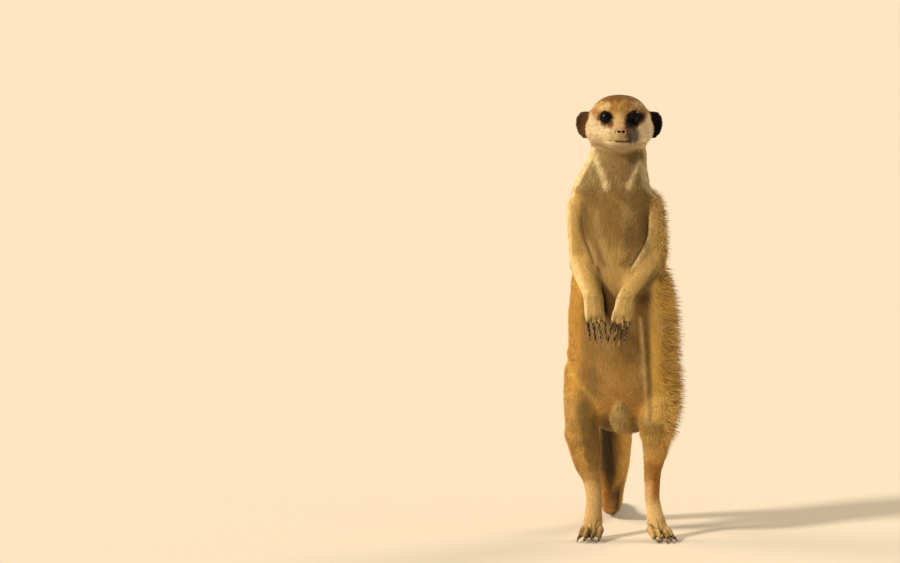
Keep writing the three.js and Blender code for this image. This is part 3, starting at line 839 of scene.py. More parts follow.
def paintNeck(colour, s):
    places, x, z, facing = s.places, s.x, s.z, s.facing
    neck = s.on(3, "neck", "chest") * ramp(250, 268, z + 5 * ripple(places, 12 * mm, 46))
    streak = ripple(places * [2.2, 1, 0.35], 6 * mm, 45)
    throat = ramp(13, 7, abs(x + 0.7)) * (0.9 - 0.3 * ramp(0, 1, streak))
    throat = layers(tone["neckShade"], ("neckFront", throat))
    rim = np.where(x < 0, ramp(0.74, 0.56, facing), 0.6 * ramp(0.64, 0.36, facing))
    rim = rim * ramp(-0.85, 0.25, facing) * s.on(5, "neck", "chest", "upper_arm")
    seen = neck * ramp(0.1, 0.4, facing)
    colour = layers(colour, ("neckBack", neck * ramp(0.0, -0.4, facing)))
    colour = blend(colour, throat, neck * ramp(0.3, 0.55, facing) * ramp(255, 281, z + 6 * streak))
    colour = layers(colour, ("collar", 0.95 * rim * ramp(244, 272, z + 5 * streak)))
    return layers(
        addPatches(colour, s, "neck", seen),
        ("collar", 0.8 * seen * alongLine(places, "collarRight", 2.2)),
        ("collar", 0.75 * seen * alongLine(places, "collarLeft", 2.0)),
        ("collar", 0.6 * seen * alongLine(places, "shoulderLeft", 2.8)))


def paintArms(colour, s):
    x, z, facing, outward, off = s.x, s.z, s.facing, s.outward, pastArmLine(s.places)
    upper = s.on(2, "upper_arm", "chest") * ramp(205, 210, z) * ramp(264, 246, z)
    # the right upper arm is painted darker as shade, and its outer rim lighter as painted light
    arm = layers(tone["upperArm"], ("armOuter", 0.8 * ramp(0.1, 0.7, outward) * (x > 0)),
                 ("armSleek", ramp(1, -1, x)), ("armRim", 0.7 * ramp(0.6, 0.9, outward) * (x < 0)))
    colour = blend(colour, arm, upper * ramp(-0.5, 0.7, off) * ramp(-0.6, 0.1, facing))
    seen = ramp(0.0, 0.4, facing) * upper
    fore = s.on(2, "forearm", "hand")
    under = np.interp(x, (4, 10, 20, 30), (183, 190, 198, 207))  # the shaded edge under the left forearm
    return layers(
        colour, ("chestFront", seen * ramp(0.2, -0.8, off) * ramp(-12, -8, off)),
        # the chestDark and armLine tones here are painted shade in the crease along the line between chest and
        # arm
        ("chestDark", 0.6 * seen * hump(off, -3, 2.6) * ramp(228, 236, z)),
        ("chestPale", 0.6 * seen * hump(off, -3, 2.2) * ramp(230, 222, z)),
        ("armLine", 0.7 * seen * hump(off, -0.5, 0.8) * ramp(248, 238, z)),
        ("neckSide", 0.55 * seen * hump(off, 1.8, 1.0) * ramp(250, 242, z) * (x > 0)),
        ("deepShade", 0.7 * fore * ramp(1, -3, z - under) * ramp(7, 12, x)),
        # painted light on the outer rim of the right forearm
        ("armRim", 0.7 * fore * ramp(0.3, 0.8, outward) * (x < 0)),
        ("armShade", 0.5 * fore * ramp(-0.1, -0.6, outward) * (x < 0)))


def paintLegs(colour, s):
    places, x, z, facing, outward = s.places, s.x, s.z, s.facing, s.outward
    left, right = x > 0, x < 0
    thigh, shank, foot = s.on(4, "thigh") * ramp(100, 88, z), s.on(8, "shank"), s.on(2, "foot")
    inner = ramp(0.35, 0.75, facing) * ramp(0.75, 0.3, outward) * np.where(right, 0.3, 0.25)
    outer = s.on(4, "thigh", "shank") * ramp(0.3, 0.7, outward) * left
    leg = s.on(3, "thigh", "shank", "foot") * ramp(-0.5, 0, facing)
    # painted shade on the inner side of the right leg, as the height and sideways place of its edge
    edge = np.interp(z, (10, 30, 45, 55, 65, 80, 95), (-17, -18.5, -20, -23, -27, -29, -32))
    shaded = leg * ramp(-1.5, 1.5, x - edge + 1.5 * ripple(places, 7 * mm, 71)) * right * ramp(98, 90, z)
    return layers(
        # painted shade on the inner fronts of the thighs
        colour, ("thighFront", thigh * inner),
        ("kneeDark", 0.35 * shank * ramp(0.2, 0.7, facing) * ramp(62, 80, z)),
        ("kneeWarm", 0.6 * shank * ramp(0.2, 0.8, outward) * ramp(45, 60, z)),
        ("flankGrey", 0.6 * outer * ramp(56, 70, z) * ramp(104, 92, z)),
        ("legPale", 0.5 * leg * right * ramp(58, 36, z + 6 * ripple(places, 10 * mm, 72))),
        ("thighFront", shaded * (0.12 + 0.56 * ramp(48, 60, z))),
        ("legPale", 0.7 * leg * alongLine(places, "innerLeg", 1.8)),
        ("legPale", 0.5 * leg * left * ramp(25, 21, x) * ramp(60, 50, z)),
        ("kneeWarm", 0.65 * leg * left * ramp(22, 42, z) * ramp(68, 56, z)),
        ("footPale", 0.75 * foot * left * ramp(36, 22, z)),
        ("legPale", 0.6 * foot * left * ramp(26, 23, x) * ramp(22, 36, z)),
        ("shankDark", 0.85 * leg * alongLine(places, "outerLeg", 2.6)),
        ("toeShade", foot * ramp(11, 7, z) * np.where(right, 0.6, 0.35)),
        # painted shade in the gaps between the fingers and between the toes
        *[("cleft", 0.85 * betweenDigits(places, s.labels, paw)) for paw in ("hand", "foot")])


def paintTail(colour, s):
    tail = s.on(3, "tail_prop", "tail_rear", "tail_root") * ramp(-0.6, -0.1, s.facing)
    # edges of the painted shadow that the right leg casts on the tail between the legs, by height; beside it
    # the tail is painted as lit: pale to its left, golden to its right
    middle = s.x - np.interp(s.z, (11, 21, 32, 42, 53, 64), (1.5, 1.8, 2.6, 1.5, 0, -0.5))
    golden = s.x - np.interp(s.z, (11, 21, 32, 40), (-4, -4.5, -8, -14))
    return layers(
        colour, ("tailShade", 0.95 * tail * ramp(1.2, -1.2, middle) * ramp(-1, 1, golden)),
        ("tailPale", 0.75 * tail * ramp(0.5, 3, middle) * ramp(30, 42, s.z)),
        ("tailLow", 0.8 * tail * ramp(1, -1, golden)),
        ("tailTip", s.on(3, "tail_tip")))


def aroundEye(local, side):  # 1 at the edge of the dark patch, less inside it, and the plain distance
    d = local - eyeFrame(side)[0]
    across, up = d[:, 0] * side, d[:, 2]
    away = np.hypot(across, up)
    edges = face["eyePatch"][side]
    return away / np.interp(np.degrees(np.arctan2(up, across)) % 360, np.linspace(0, 360, 9), edges), away


def paintHead(s, local):
    x, hy, hz = local.T
    hx, forward = abs(x), ramp(9, 4, hy)
    fleck, mottle = ripple(s.places, 3.4 * mm, 51), ripple(s.places, 8 * mm, 52)
    cheek = np.maximum(ramp(9.5, 14, hx) * ramp(3.5, -1, hz), ramp(4.5, 9, hx) * ramp(-5, -8.5, hz))
    spots = 0.45 * ramp(-11, -16, hz + 2 * mottle) + 0.3 * ramp(0, 0.9, fleck - mottle)
    # painted light: the left cheek is lighter, as if lit, on the side that the key lamp leaves in shade
    pale = layers(tone["cheek"], ("muzzle", spots), ("cheekLeft", 0.8 * ramp(9, 13, x)))
    brow = hump(hx, 12.8, 4) * hump(hz, np.where(x < 0, 6.4, 8.2), 2.6)
    pads = hump(hx, 6.5, 3) * hump(hz, -11.5, 2.6) * ramp(-12, -17, hy)
    gap = mouthGap(local)
    # painted shadow beside the muzzle on its left side: its middle and half width at four heights
    middle, reach = (np.interp(hz, (-21, -18, -12, -6), across)
                     for across in ((9.6, 10.6, 9.2, 7.5), (3.2, 4.4, 4.6, 3.6)))
    shaded = ramp(1.45, 0.55, abs(x - middle) / reach + 0.12 * fleck) * ramp(-0.5, -3, hz) * ramp(3, -3, hy)
    paint = layers(
        tone["forehead"], ("crown", 0.8 * ramp(8.5, 13, hz + 1.5 * mottle) * ramp(16, 5, abs(hy - 3))),
        ("rust", 0.5 * ramp(0.1, 0.8, mottle + 0.4 * fleck) * ramp(4, 8, hz)),
        ("brow", 0.5 * ramp(0.1, 0.7, 0.7 * fleck - mottle) * ramp(3, 7, hz) * ramp(12, 9, hz)),
        ("crownEdge", 0.75 * ramp(12.6, 15.2, hz - 0.05 * x) * ramp(12, 4, abs(hy - 4))),
        ("headBack", ramp(9, 18, hy)),
        ("bridge", ramp(7.5, 4, hx) * ramp(7, 1, hz) * ramp(-4, -9, hy)),
        ("bridge", 0.25 * ramp(0.1, 0.8, fleck) * ramp(-16, -13, hy)))
    paint = layers(
        blend(paint, pale, cheek * ramp(14, 7, hy)), ("brow", 0.45 * forward * brow * (1 + 0.3 * fleck)),
        ("rust", 0.8 * forward * hump(hx, 18.6, 2.4) * hump(hz, 2.6, 4.6)),
        ("rust", 0.6 * forward * hump(x, 6.5, 2.4) * hump(hz, 9.6, 2)),
        ("muzzle", ramp(9.5, 6.5, hx) * ramp(-3.5, -6.5, hz) * ramp(-13, -17, hy)),
        ("pad", pads * (0.6 + 0.25 * fleck)),
        ("lips", 0.7 * hump(gap, -1.6, 1.3) * ramp(-6, -10, hy)),
        ("chin", ramp(-18, -20, hz) * ramp(8, 2, hy)),
        ("muzzleShade", 0.88 * shaded * ramp(-21, -15, hz + 1.5 * mottle)))
    for side in sides.values():
        (ring, away), (lid, reach) = aroundEye(local, side), lidRing(local, side)[:2]
        near = (np.sign(x) == side) & (hy < 9)
        core = np.maximum(ramp(4.9, 4.0, away), ramp(0.88, 0.72, ring)) if side > 0 else ramp(4.6, 3.8, away)
        core = np.maximum(core, ramp(1.55, 1.35, lid) * (reach < 8))  # the lids' own rim, round to the side
        paint = layers(
            paint, ("eyeRing", 0.92 * near * ramp(1.2, 0.9, ring + 0.1 * fleck)),
            ("eyeShade", near * ramp(0.98, 0.74, ring + 0.06 * fleck) * (1 if side > 0 else 0.7)),
            ("eyeCore", near * core))
    lips = hump(gap, 0, 0.95) * ramp(-9, -13, hy) * ramp(7, 4.8, abs(x - 1.5))
    return layers(paint, ("mouthLine", 0.95 * lips))


def paintNose(colour, local, head):
    x, hy, hz = local.T
    edge = hump(noseReach(local), 1.36, 0.2) * ramp(-11, -7.5, hz + 2.5 * ramp(1, 3, x))
    place, radius = face["nostrils"][:3], face["nostrils"][3]
    pit = np.linalg.norm((np.stack([abs(x), hy, hz], 1) - place) / [1.1, 2.2, 0.8], axis=1)
    return layers(colour, ("noseEdge", 0.95 * head * edge), ("noseLeather", nosePad(local)),
                  ("nostril", ramp(1.45 * radius, 0.9 * radius, pit)))


def paintEars(colour, s, local):
    hx, hz, right = abs(local[:, 0]), local[:, 2], local[:, :1] < 0
    bowl = np.hypot((hx - 24.2) / 5.6, (hz + 8.4) / 8.4)
    # painted light and shade: the right ear is painted as lit, with a brown hollow and a paler rim, the left
    # ear as in shade, near black
    rim = np.where(right, tone["earRimRight"], tone["earRim"])
    inside = np.where(right, tone["earInside"], tone["earDark"])
    paint = blend(tone["earBack"], rim, ramp(-0.5, 0.3, -s.normals[:, 1]))
    paint = blend(paint, inside, ramp(0.1, 0.5, -s.normals[:, 1]) * ramp(1.2, 0.95, bowl))
    return blend(colour, paint, s.on(0.8, "ear") * ramp(15.5, 18, hx))


def markingsAndPaintedLight(s):
    local, head = onHead(s.places), s.on(1, "head", "lower_jaw", "nose")
    rows = np.array([tone[firstColour[kindOf(name)]] for name in skin["pieces"]])
    colour = s.soften(rows[s.labels], 6)
    for paint in (paintTrunk, paintNeck, paintArms, paintLegs, paintTail):
        colour = paint(colour, s)
    colour = blend(colour, paintHead(s, local), head)
    return paintEars(paintNose(colour, local, head), s, local)


# what grows where: one value of each kind for every vertex of the skin

nextNode = {"upper_arm": "forearm", "forearm": "hand", "thigh": "shank", "shank": "foot",
            "tail_root": "tail_prop", "tail_prop": "tail_rear"}


def bareSkin(s, local, normals):  # 1 where no hair grows
    bare = np.maximum(nosePad(local), 0.95 * hump(mouthGap(local), 0, 0.7) * ramp(-8, -11, local[:, 1]))
    for side in sides.values():
        ring, r = lidRing(local, side)[:2]
        bare = np.maximum(bare, (r < 9) * ramp(1.38, 1.2, ring))
    return np.maximum(bare, s.on(1, "foot") * ramp(-0.6, -0.9, normals[:, 2]) * ramp(4, 2, s.z))


def hairRow(s, local):  # length, width, lift, density and depth of the coat, and the share of guard hair
    row = s.soften(coatRow(s.labels, s.normals), 5)
    knee = ramp(104, 92, s.z) * ramp(40, 54, s.z) * s.on(3, "thigh", "shank", "belly")
    wrist = s.on(5, "forearm", "hand") * ramp(196, 190, s.z)
    row = blend(row, s.soften(row, 9), np.maximum(knee, wrist))
    smooth = s.on(3, "upper_arm", "chest", "belly", "thigh") * ramp(3, -3, s.x)
    smooth = smooth * ramp(-0.6, -0.1, s.facing)  # the coat lies sleek on the animal's right side
    row[:, hairLength] *= 1 - 0.35 * smooth
    row[:, hairLift] *= 1 - 0.5 * smooth
    row[:, hairLength] *= 1 - 0.4 * ramp(-8, -20, local[:, 1]) * (s.z > headHeight)  # short by the nose
    ruff = ramp(14, 20, abs(local[:, 0])) * ramp(-2, -8, local[:, 2]) * (local[:, 2] > -26)
    ruff = ruff * ramp(-4, 3, local[:, 1]) * s.on(1, "head", "lower_jaw")
    row[:, hairLength] *= 1 + 0.9 * ruff
    row[:, hairLift] *= 1 + 0.8 * ruff
    outer = 0.75 * ramp(0.25, 0.7, s.outward) * s.on(2, "upper_arm") * ramp(196, 206, s.z)
    guard = np.maximum(ramp(5.8, 7.8, row[:, hairLength]) * s.on(2, *longLie), outer)
    under = s.on(3, "thigh", "belly", "tail_root") * ramp(98, 92, s.z) * ramp(-0.2, -0.5, s.normals[:, 2])
    guard = guard * (1 - smooth) * (1 - under)
    row[:, hairLength] *= 1 - 0.35 * under
    row[:, hairLift] *= 1 - 0.4 * under
    # the fringe of the left flank goes on down the outside of the thigh
    fringe = s.on(4, "thigh", "shank") * ramp(0.3, 0.7, s.outward) * (s.x > 0)
    fringe = fringe * ramp(50, 92, s.z) * ramp(112, 100, s.z)
    row[:, hairLength] = np.maximum(row[:, hairLength], 8 * fringe)
    row[:, hairLift] = np.maximum(row[:, hairLift], 24 * fringe)
    for side in sides.values():  # shorter round the eyes
        ring, r = lidRing(local, side)[:2]
        row[:, hairLength] *= 1 - 0.5 * (r < 9) * ramp(2.6, 1.4, ring)
    return np.column_stack([row, np.maximum(guard, ramp(0.1, 0.5, fringe))])


def hairTarget(name):  # the place that the hair on a limb, a paw or the tail points to, or None
    kind = kindOf(name)
    if kind in nextNode:
        return middleOf(name.replace(kind, nextNode[kind]))
    if kind in ("hand", "foot"):
        return middleOf(*[f"claw_{name}_{i}" for i in digits])
    if kind in ("tail_rear", "tail_tip"):
        return middleOf("tail_tip") * 3 - middleOf("tail_rear") * 2
    return None


def hairWay(s):  # the way the hair lies, along the skin
    way = np.zeros_like(s.places)
    for code, name in enumerate(skin["pieces"]):
        mine = s.labels == code
        kind, target, here = kindOf(name), hairTarget(name), s.places[mine]
        if target is not None:
            way[mine] = unit(target - here)
        elif kind in ("head", "lower_jaw", "nose"):
            way[mine] = unit(here - fromHead(np.array([0, -33, -7.5])))
        elif kind == "ear":
            way[mine] = unit(here - fromHead(np.array([15.0 * sides[name.rsplit("_", 1)[-1]], 11, -9])))
        else:
            way[mine] = unit(np.sign(here[:, :1]) * leftward * 0.14 + [0, 0.05, -1])
    # on the flanks and the outer arms the hair lies backwards
    swing = s.on(4, "chest", "belly", "thigh", "upper_arm") * ramp(54, 66, s.z) * ramp(264, 250, s.z)
    backwards = np.column_stack([0.25 * np.sign(s.x), np.ones(len(way)), np.full(len(way), -0.38)])
    way = blend(way, unit(backwards), 0.88 * swing * ramp(0.9, 0.55, s.facing))
    return flatTo(s.soften(way, 3.5), s.normals)


def skinFields(mesh):
    s, normals = Surface(mesh), normalsOf(mesh)
    broad = unit(s.soften(normals, 2))
    labels = findNode(s.places + broad * 1.5 * mm)
    s.know(broad, findNode(s.places + broad * s.soften(coatRow(labels, broad)[:, coatDepth:], 2) * mm))
    local = onHead(s.places)
    row, bare = hairRow(s, local), bareSkin(s, local, normals)
    row[:, density] *= 1 - bare
    return {"places": s.places, "normals": normals, "labels": s.labels, "row": row, "bare": bare,
            "flow": hairWay(s), "colours": markingsAndPaintedLight(s)}


fields = skinFields(skinMesh)
print("coat laid out")


def skinMaterial():
    # Short-furred hide: dry and matte, with the fine combed ridges of hair lying flat. The bare leather of the
    # nose and the lids is smoother and a little moist.
    hide, tree = newMaterial("short-furred hide")
    bare = attributeOf(tree, "bare", "Fac")
    # hairs 0.3 mm apart and about 3 mm long, drawn as coarse as they need to show
    hairs = noiseIn(tree, 0.35, 4, (3300, 3300, 420))
    # pebbles of the nose leather, 0.4 mm across
    where = addNode(tree, "ShaderNodeTexCoord")
    pebbles = addNode(tree, "ShaderNodeTexVoronoi", {"Vector": where.outputs["Object"], "Scale": 2500})
    relief = addNode(tree, "ShaderNodeMix", {0: bare, 2: hairs, 3: pebbles})
    bump = addNode(tree, "ShaderNodeBump", {"Height": relief, "Strength": 0.5, "Distance": 0.25 * mm})
    shade = ranged(tree, hairs, 0.62, 1.0, 0.3, 0.7)
    showShader(tree, {
        "Base Color": mixed(tree, 1.0, attributeOf(tree, "hide"), shade, "MULTIPLY"),
        "Roughness": ranged(tree, bare, 0.82, 0.6), "Normal": bump, "Specular IOR Level": 0.12})
    return hide


def makeSkin(mesh, f):
    storeColour(mesh, "hide", f["colours"])
    storeValue(mesh, "bare", f["bare"])
    piece = addObject("skin", mesh, skinMaterial())
    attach(piece, "root")
    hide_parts(*skin["pieces"])


makeSkin(skinMesh, fields)
print("skin finished")

# coat: thin overlapping tufts, each a closed blade rooted in the skin

coat = {
    "tufts": 147000,
    "perPiece": 19400,  # so that a piece stays under 200,000 triangles
    "sink": 0.4,  # mm that a root goes under the skin
    "waves": ((8, 0.07), (24, 0.10)),  # size in mm and strength of the turns that gather hairs into locks
    "stray": 0.07,  # sideways scatter of single tufts
    # long banded hairs on the flanks and back: their share, their length, lift and width next to a plain
    # hair's, and their brightness half way and at the tip
    "guard": {"share": 0.45, "length": 1.15, "lift": 2.3, "width": 0.55, "middle": 1.6, "tip": 0.28},
    # dark locks that stand out of the flank's edge, with the lift in degrees
    "lock": {"share": 0.085, "length": 0.95, "lift": 50, "width": 1.35, "middle": 0.5, "tip": 0.24},
    "lean": 0.65,  # how far a tuft's shading follows the skin's
    "sheen": "#ffe9c8",
    # slot and kinds of node that each piece grows on
    "pieces": {
        "coat_head": ("face", "head", "lower_jaw", "nose"),
        "coat_ears": ("ear", "ear"),
        "coat_neck": ("coat", "neck"),
        "coat_chest": ("coat", "chest"),
        "coat_belly": ("coat", "belly"),
        "coat_arms": ("coat", "upper_arm", "forearm", "hand"),
        "coat_thighs": ("coat", "thigh"),
        "coat_legs": ("coat", "shank", "foot"),
        "coat_tail": ("coat", "tail_root", "tail_prop", "tail_rear"),
        "coat_tail_tip": ("tail_tip", "tail_tip"),
    },
}


# a tuft: corners of its faces, place of each corner on its patch of the bake map, and the patch's size
blade = {
    "points": 7,
    "faces": [(0, 3, 5, 2), (2, 5, 4, 1), (1, 4, 3, 0), (3, 6, 5), (5, 6, 4), (4, 6, 3), (0, 2, 1)],
    "flat": [(1, -1), (-1, -1), (0, -1), (1, 0), (-1, 0), (0, 0), (0, 1)],
    "patch": 0.003,
}


def furMaterial():
    # Guard hair: each hair is a glossy fibre, and a tuft of them is soft and satin, with a faint bright edge.
    hair, tree = newMaterial("guard hair")
    shade = ranged(tree, noiseIn(tree, 2000, 2), 0.92, 1.05, 0.35, 0.65)  # flecks of single hairs, 0.5 mm
    showShader(tree, {
        "Base Color": mixed(tree, 1.0, attributeOf(tree, "tint"), shade, "MULTIPLY"), "Roughness": 0.62,
        "Specular IOR Level": 0.2, "Sheen Weight": 0.05, "Sheen Roughness": 0.5,
        "Sheen Tint": (*linear(coat["sheen"]), 1)})
    return hair


def sampleTufts(mesh, f):  # roots spread evenly over the skin, by the density of the coat
    corners = np.empty(len(mesh.polygons) * 3, np.int32)
    mesh.loops.foreach_get("vertex_index", corners)
    corners = corners.reshape(-1, 3)
    area = triangleAreas(*f["places"][corners].transpose(1, 0, 2))
    grows = np.cumsum(area * f["row"][corners, density].mean(axis=1))
    count = coat["tufts"]
    pick = np.searchsorted(grows, (np.arange(count) + chance.random(count)) / count * grows[-1])
    pick = pick.clip(0, len(corners) - 1)
    u, v = randomShares(count)
    weights = np.stack([1 - u - v, u, v], axis=1)
    mix = lambda values: (values[corners[pick]] * weights[:, :, None]).sum(axis=1)
    nearest = corners[pick, weights.argmax(axis=1)]
    return {"root": mix(f["places"]), "normal": unit(mix(f["normals"])), "flow": mix(f["flow"]),
            "row": mix(f["row"]), "colour": mix(f["colours"]), "label": f["labels"][nearest]}


def shapeTufts(t):  # seven vertices for each: a ring at the root, a ring half way and the tip
    count = len(t["root"])
    root, normal = t["root"], t["normal"]
    sideways = unit(np.cross(t["flow"], normal))
    turn = chance.normal(size=count) * coat["stray"]
    for size, strength in coat["waves"]:
        turn += strength * ripple(root, size * mm, int(size))
    flow = flatTo(t["flow"] + sideways * turn[:, None], normal)
    length, width, lift = (t["row"][:, column].copy() for column in (hairLength, hairWidth, hairLift))
    long, facing = t["row"][:, guardShare], normal @ ahead
    banded, lock = coat["guard"], coat["lock"]
    guard = (chance.random(count) < banded["share"] * long) & (long > 0.3)
    length *= chance.uniform(0.72, 1.22, count) * np.where(guard, banded["length"], 1)
    lift = np.radians(lift * chance.uniform(0.6, 1.35, count) * np.where(guard, banded["lift"], 1))
    edge = ramp(0.45, 0.7, long) * ramp(-0.2, 0.05, facing) * ramp(0.75, 0.6, facing)
    locks = chance.random(count) < lock["share"] * edge
    length *= np.where(locks, lock["length"], 1)
    lift = np.where(locks, np.radians(lock["lift"] * chance.uniform(0.8, 1.2, count)), lift)
    lift *= 1 + 0.2 * ripple(root, 5 * mm, 3)
    wider = np.where(locks, lock["width"], np.where(guard, banded["width"], 1))
    width *= chance.uniform(0.8, 1.2, count) * wider
    curl = 0.35 + 0.3 * long + 0.25 * guard
    sideways = unit(np.cross(flow, normal))
    rise = flow * np.cos(lift)[:, None] + normal * np.sin(lift)[:, None]
    later = flow * np.cos(lift * curl)[:, None] + normal * np.sin(lift * curl)[:, None]
    thick = np.cross(sideways, rise)
    step, w = (length * mm / 2)[:, None], (width * mm)[:, None]
    base = root - normal * coat["sink"] * mm
    middle = base + rise * step + normal * 0.15 * mm
    points = np.stack([
        base + sideways * w * 0.42, base - sideways * w * 0.42, base + thick * w * 0.28,
        middle + sideways * w * 0.5, middle - sideways * w * 0.5, middle + thick * w * 0.25,
        middle + later * step], axis=1)
    points[..., 2] = np.maximum(points[..., 2], 0.02 * mm)  # nothing goes under the floor
    return points, colourTufts(t, guard, locks), guard | locks


def colourTufts(t, guard, locks):  # the markings, uneven from tuft to tuft, and bands on the long hairs
    root, long, banded, lock = t["root"], t["row"][:, guardShare], coat["guard"], coat["lock"]
    varied = 0.105 + 0.03 * long
    bright = 1 + varied * chance.normal(size=len(root)).clip(-2, 2) + varied * ripple(root, 9 * mm, 31)
    colour = t["colour"] * bright[:, None]
    rooted = colour * (0.93 - 0.13 * long)[:, None]
    midway = colour * np.where(locks, lock["middle"], np.where(guard, banded["middle"], 1.03))[:, None]
    tipped = colour * np.where(locks, lock["tip"], np.where(guard, banded["tip"], 1.1))[:, None]
    colours = np.stack([rooted] * 3 + [midway] * 3 + [tipped], axis=1)
    # too bright a colour is scaled down whole, which keeps its hue
    return (colours / np.maximum(colours.max(axis=2, keepdims=True) / 0.9, 1)).clip(0.002, 0.9)


def bakePatches(t, codes):  # the root's place on each node's own unrolled surface, one cell for each node
    across = math.ceil(math.sqrt(len(codes)))
    down = math.ceil(len(codes) / across)
    edge = 0.02  # of a cell that stays free on each side
    spots = np.zeros((len(t["root"]), 2))
    for cell, code in enumerate(codes):
        mine = t["label"] == code
        if not mine.any():
            continue
        every = fields["places"][fields["labels"] == code]
        centre = every.mean(axis=0)
        axes = np.linalg.svd(every - centre, full_matrices=False)[2]
        p, reach = (t["root"][mine] - centre) @ axes.T, (every - centre) @ axes[0]
        u = np.arctan2(p[:, 1], p[:, 2]) / (2 * math.pi) + 0.5
        v = ((p[:, 0] - reach.min()) / np.ptp(reach)).clip(0, 1)
        spots[mine, 0] = (cell % across + edge + (1 - 2 * edge) * u) / across
        spots[mine, 1] = (cell // across + edge + (1 - 2 * edge) * v) / down
    return spots


def leanNormals(mesh, normals, upright):  # shades flat tufts mostly as the skin under them is shaded
    lean = (coat["lean"] * (1 - 0.75 * upright)).repeat(blade["points"])[:, None]
    normals = normalsOf(mesh) * (1 - lean) + normals.repeat(blade["points"], axis=0) * lean
    mesh.normals_split_custom_set_from_vertices(unit(normals))


def tuftMesh(name, points, colours, spots, normals, upright):
    count, faces = len(points), blade["faces"]
    order = np.array([corner for polygon in faces for corner in polygon])
    sizes = np.array([len(polygon) for polygon in faces])
    every = np.arange(count)[:, None]
    starts = every * len(order) + np.concatenate([[0], np.cumsum(sizes)[:-1]])
    mesh = bpy.data.meshes.new(name)
    mesh.vertices.add(count * blade["points"])
    mesh.loops.add(count * len(order))
    mesh.polygons.add(count * len(faces))
    mesh.vertices.foreach_set("co", points.astype(np.float32).ravel())
    mesh.loops.foreach_set("vertex_index", (every * blade["points"] + order).ravel().astype(np.int32))
    mesh.polygons.foreach_set("loop_start", starts.ravel().astype(np.int32))
    mesh.polygons.foreach_set("loop_total", np.tile(sizes, count).astype(np.int32))
    shadeSmooth(mesh)
    mesh.update(calc_edges=True)
    offsets = np.array([blade["flat"][i] for i in order]) * blade["patch"] / 2
    offsets[-2] *= 0.5  # the root's own face keeps some width
    flat = (spots[:, None, :] + offsets).reshape(-1)
    mesh.uv_layers.new(name="OFBake").data.foreach_set("uv", flat.astype(np.float32))
    storeColour(mesh, "tint", colours.reshape(-1, 3))
    leanNormals(mesh, normals, upright)
    return mesh


def nodesOfKind(kinds):
    return [code for code, name in enumerate(skin["pieces"]) if kindOf(name) in kinds]


def makeCoat(mesh, f):
    tufts = sampleTufts(mesh, f)
    trunk = np.isin(tufts["label"], nodesOfKind(("chest", "belly", "tail_root")))
    bands = 0.8 * backBands(tufts["root"], tufts["normal"]) * trunk
    tufts["colour"] = layers(tufts["colour"], ("band", bands))
    points, colours, upright = shapeTufts(tufts)
    hair = furMaterial()
    for name, (slot, *kinds) in coat["pieces"].items():
        codes = nodesOfKind(kinds)
        mine = np.flatnonzero(np.isin(tufts["label"], codes))
        spots = bakePatches({key: value[mine] for key, value in tufts.items()}, codes)
        shares = math.ceil(len(mine) / coat["perPiece"])
        for share in range(shares):
            title = f"{name}_{share + 1}" if shares > 1 else name
            part = slice(share, None, shares)
            some = mine[part]
            rows = (values[some] for values in (tufts["normal"], upright))
            piece = addObject(title, tuftMesh(title, points[some], colours[some], spots[part], *rows), hair)
            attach(piece, "root")
        print(name, len(mine), "tufts in", shares, "pieces")


makeCoat(skinMesh, fields)

# eyes

eye = {
    "radius": 4.83,
    "bulge": 0.22,  # mm that the clear front stands proud
    "pupil": 1.9,
    "iris": 3.3,
    "reach": 6.0,  # mm from the axis that the colours below are spread over
    "colours": {"pupil": "#020101", "iris": "#0b0603", "limbus": "#040202", "white": "#060302"},
}


def eyeMaterial():
    # Wet cornea over a dark brown iris: almost black, with one small soft reflection.
    wet, tree = newMaterial("wet cornea")
    reach, pupil, iris = eye["reach"], eye["pupil"] / eye["reach"], eye["iris"] / eye["reach"]
    off = ranged(tree, attributeOf(tree, "offAxis", "Fac"), 0.0, 1.0, 0.0, reach)
    bands = addNode(tree, "ShaderNodeValToRGB", {"Fac": off})
    stops = ((pupil - 0.02, "pupil"), (pupil + 0.03, "iris"), (iris - 0.08, "iris"), (iris, "limbus"),
             (iris + 0.12, "white"))
    while len(bands.color_ramp.elements) < len(stops):
        bands.color_ramp.elements.new(0.5)
    for stop, (place, name) in zip(bands.color_ramp.elements, stops):
        stop.position = place
        stop.color = (*linear(eye["colours"][name]), 1)
    shade = ranged(tree, noiseIn(tree, 4000, 2), 0.7, 1.25, 0.3, 0.7)  # threads of the iris, 0.25 mm
    showShader(tree, {"Base Color": mixed(tree, 1.0, bands, shade, "MULTIPLY"),
                      "Roughness": 0.22, "IOR": 1.34, "Specular IOR Level": 0.32})
    return wet


def makeEyes():
    wet = eyeMaterial()
    for name, side in sides.items():
        centre, gaze, across, up = eyeFrame(side)
        ball = bmesh.new()
        bmesh.ops.create_uvsphere(ball, u_segments=48, v_segments=36, radius=1)
        p = np.array([vertex.co[:] for vertex in ball.verts])
        off = np.arccos(p[:, 2].clip(-1, 1)) * eye["radius"]
        r = eye["radius"] + eye["bulge"] * ramp(eye["iris"] + 0.3, 0, off)
        local = centre + (p[:, :1] * across + p[:, 1:2] * up + p[:, 2:] * gaze) * r[:, None]
        for vertex, place in zip(ball.verts, fromHead(local)):
            vertex.co = place
        ball.normal_update()
        bmesh.ops.recalc_face_normals(ball, faces=ball.faces)
        mesh = bpy.data.meshes.new("eye")
        ball.to_mesh(mesh)
        ball.free()
        shadeSmooth(mesh)
        storeValue(mesh, "offAxis", off)
        piece = addObject(f"eyeball_{name}", mesh, wet)
        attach(piece, "root")
        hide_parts(f"eye_{name}")
    print("eyes set")


makeEyes()

# claws

claw = {
    "grow": 0.12,  # mm, which makes up for the rounding
    "root": "#1c120b",
    "blade": "#0b0604",
    "worn": "#d2bd94",
}


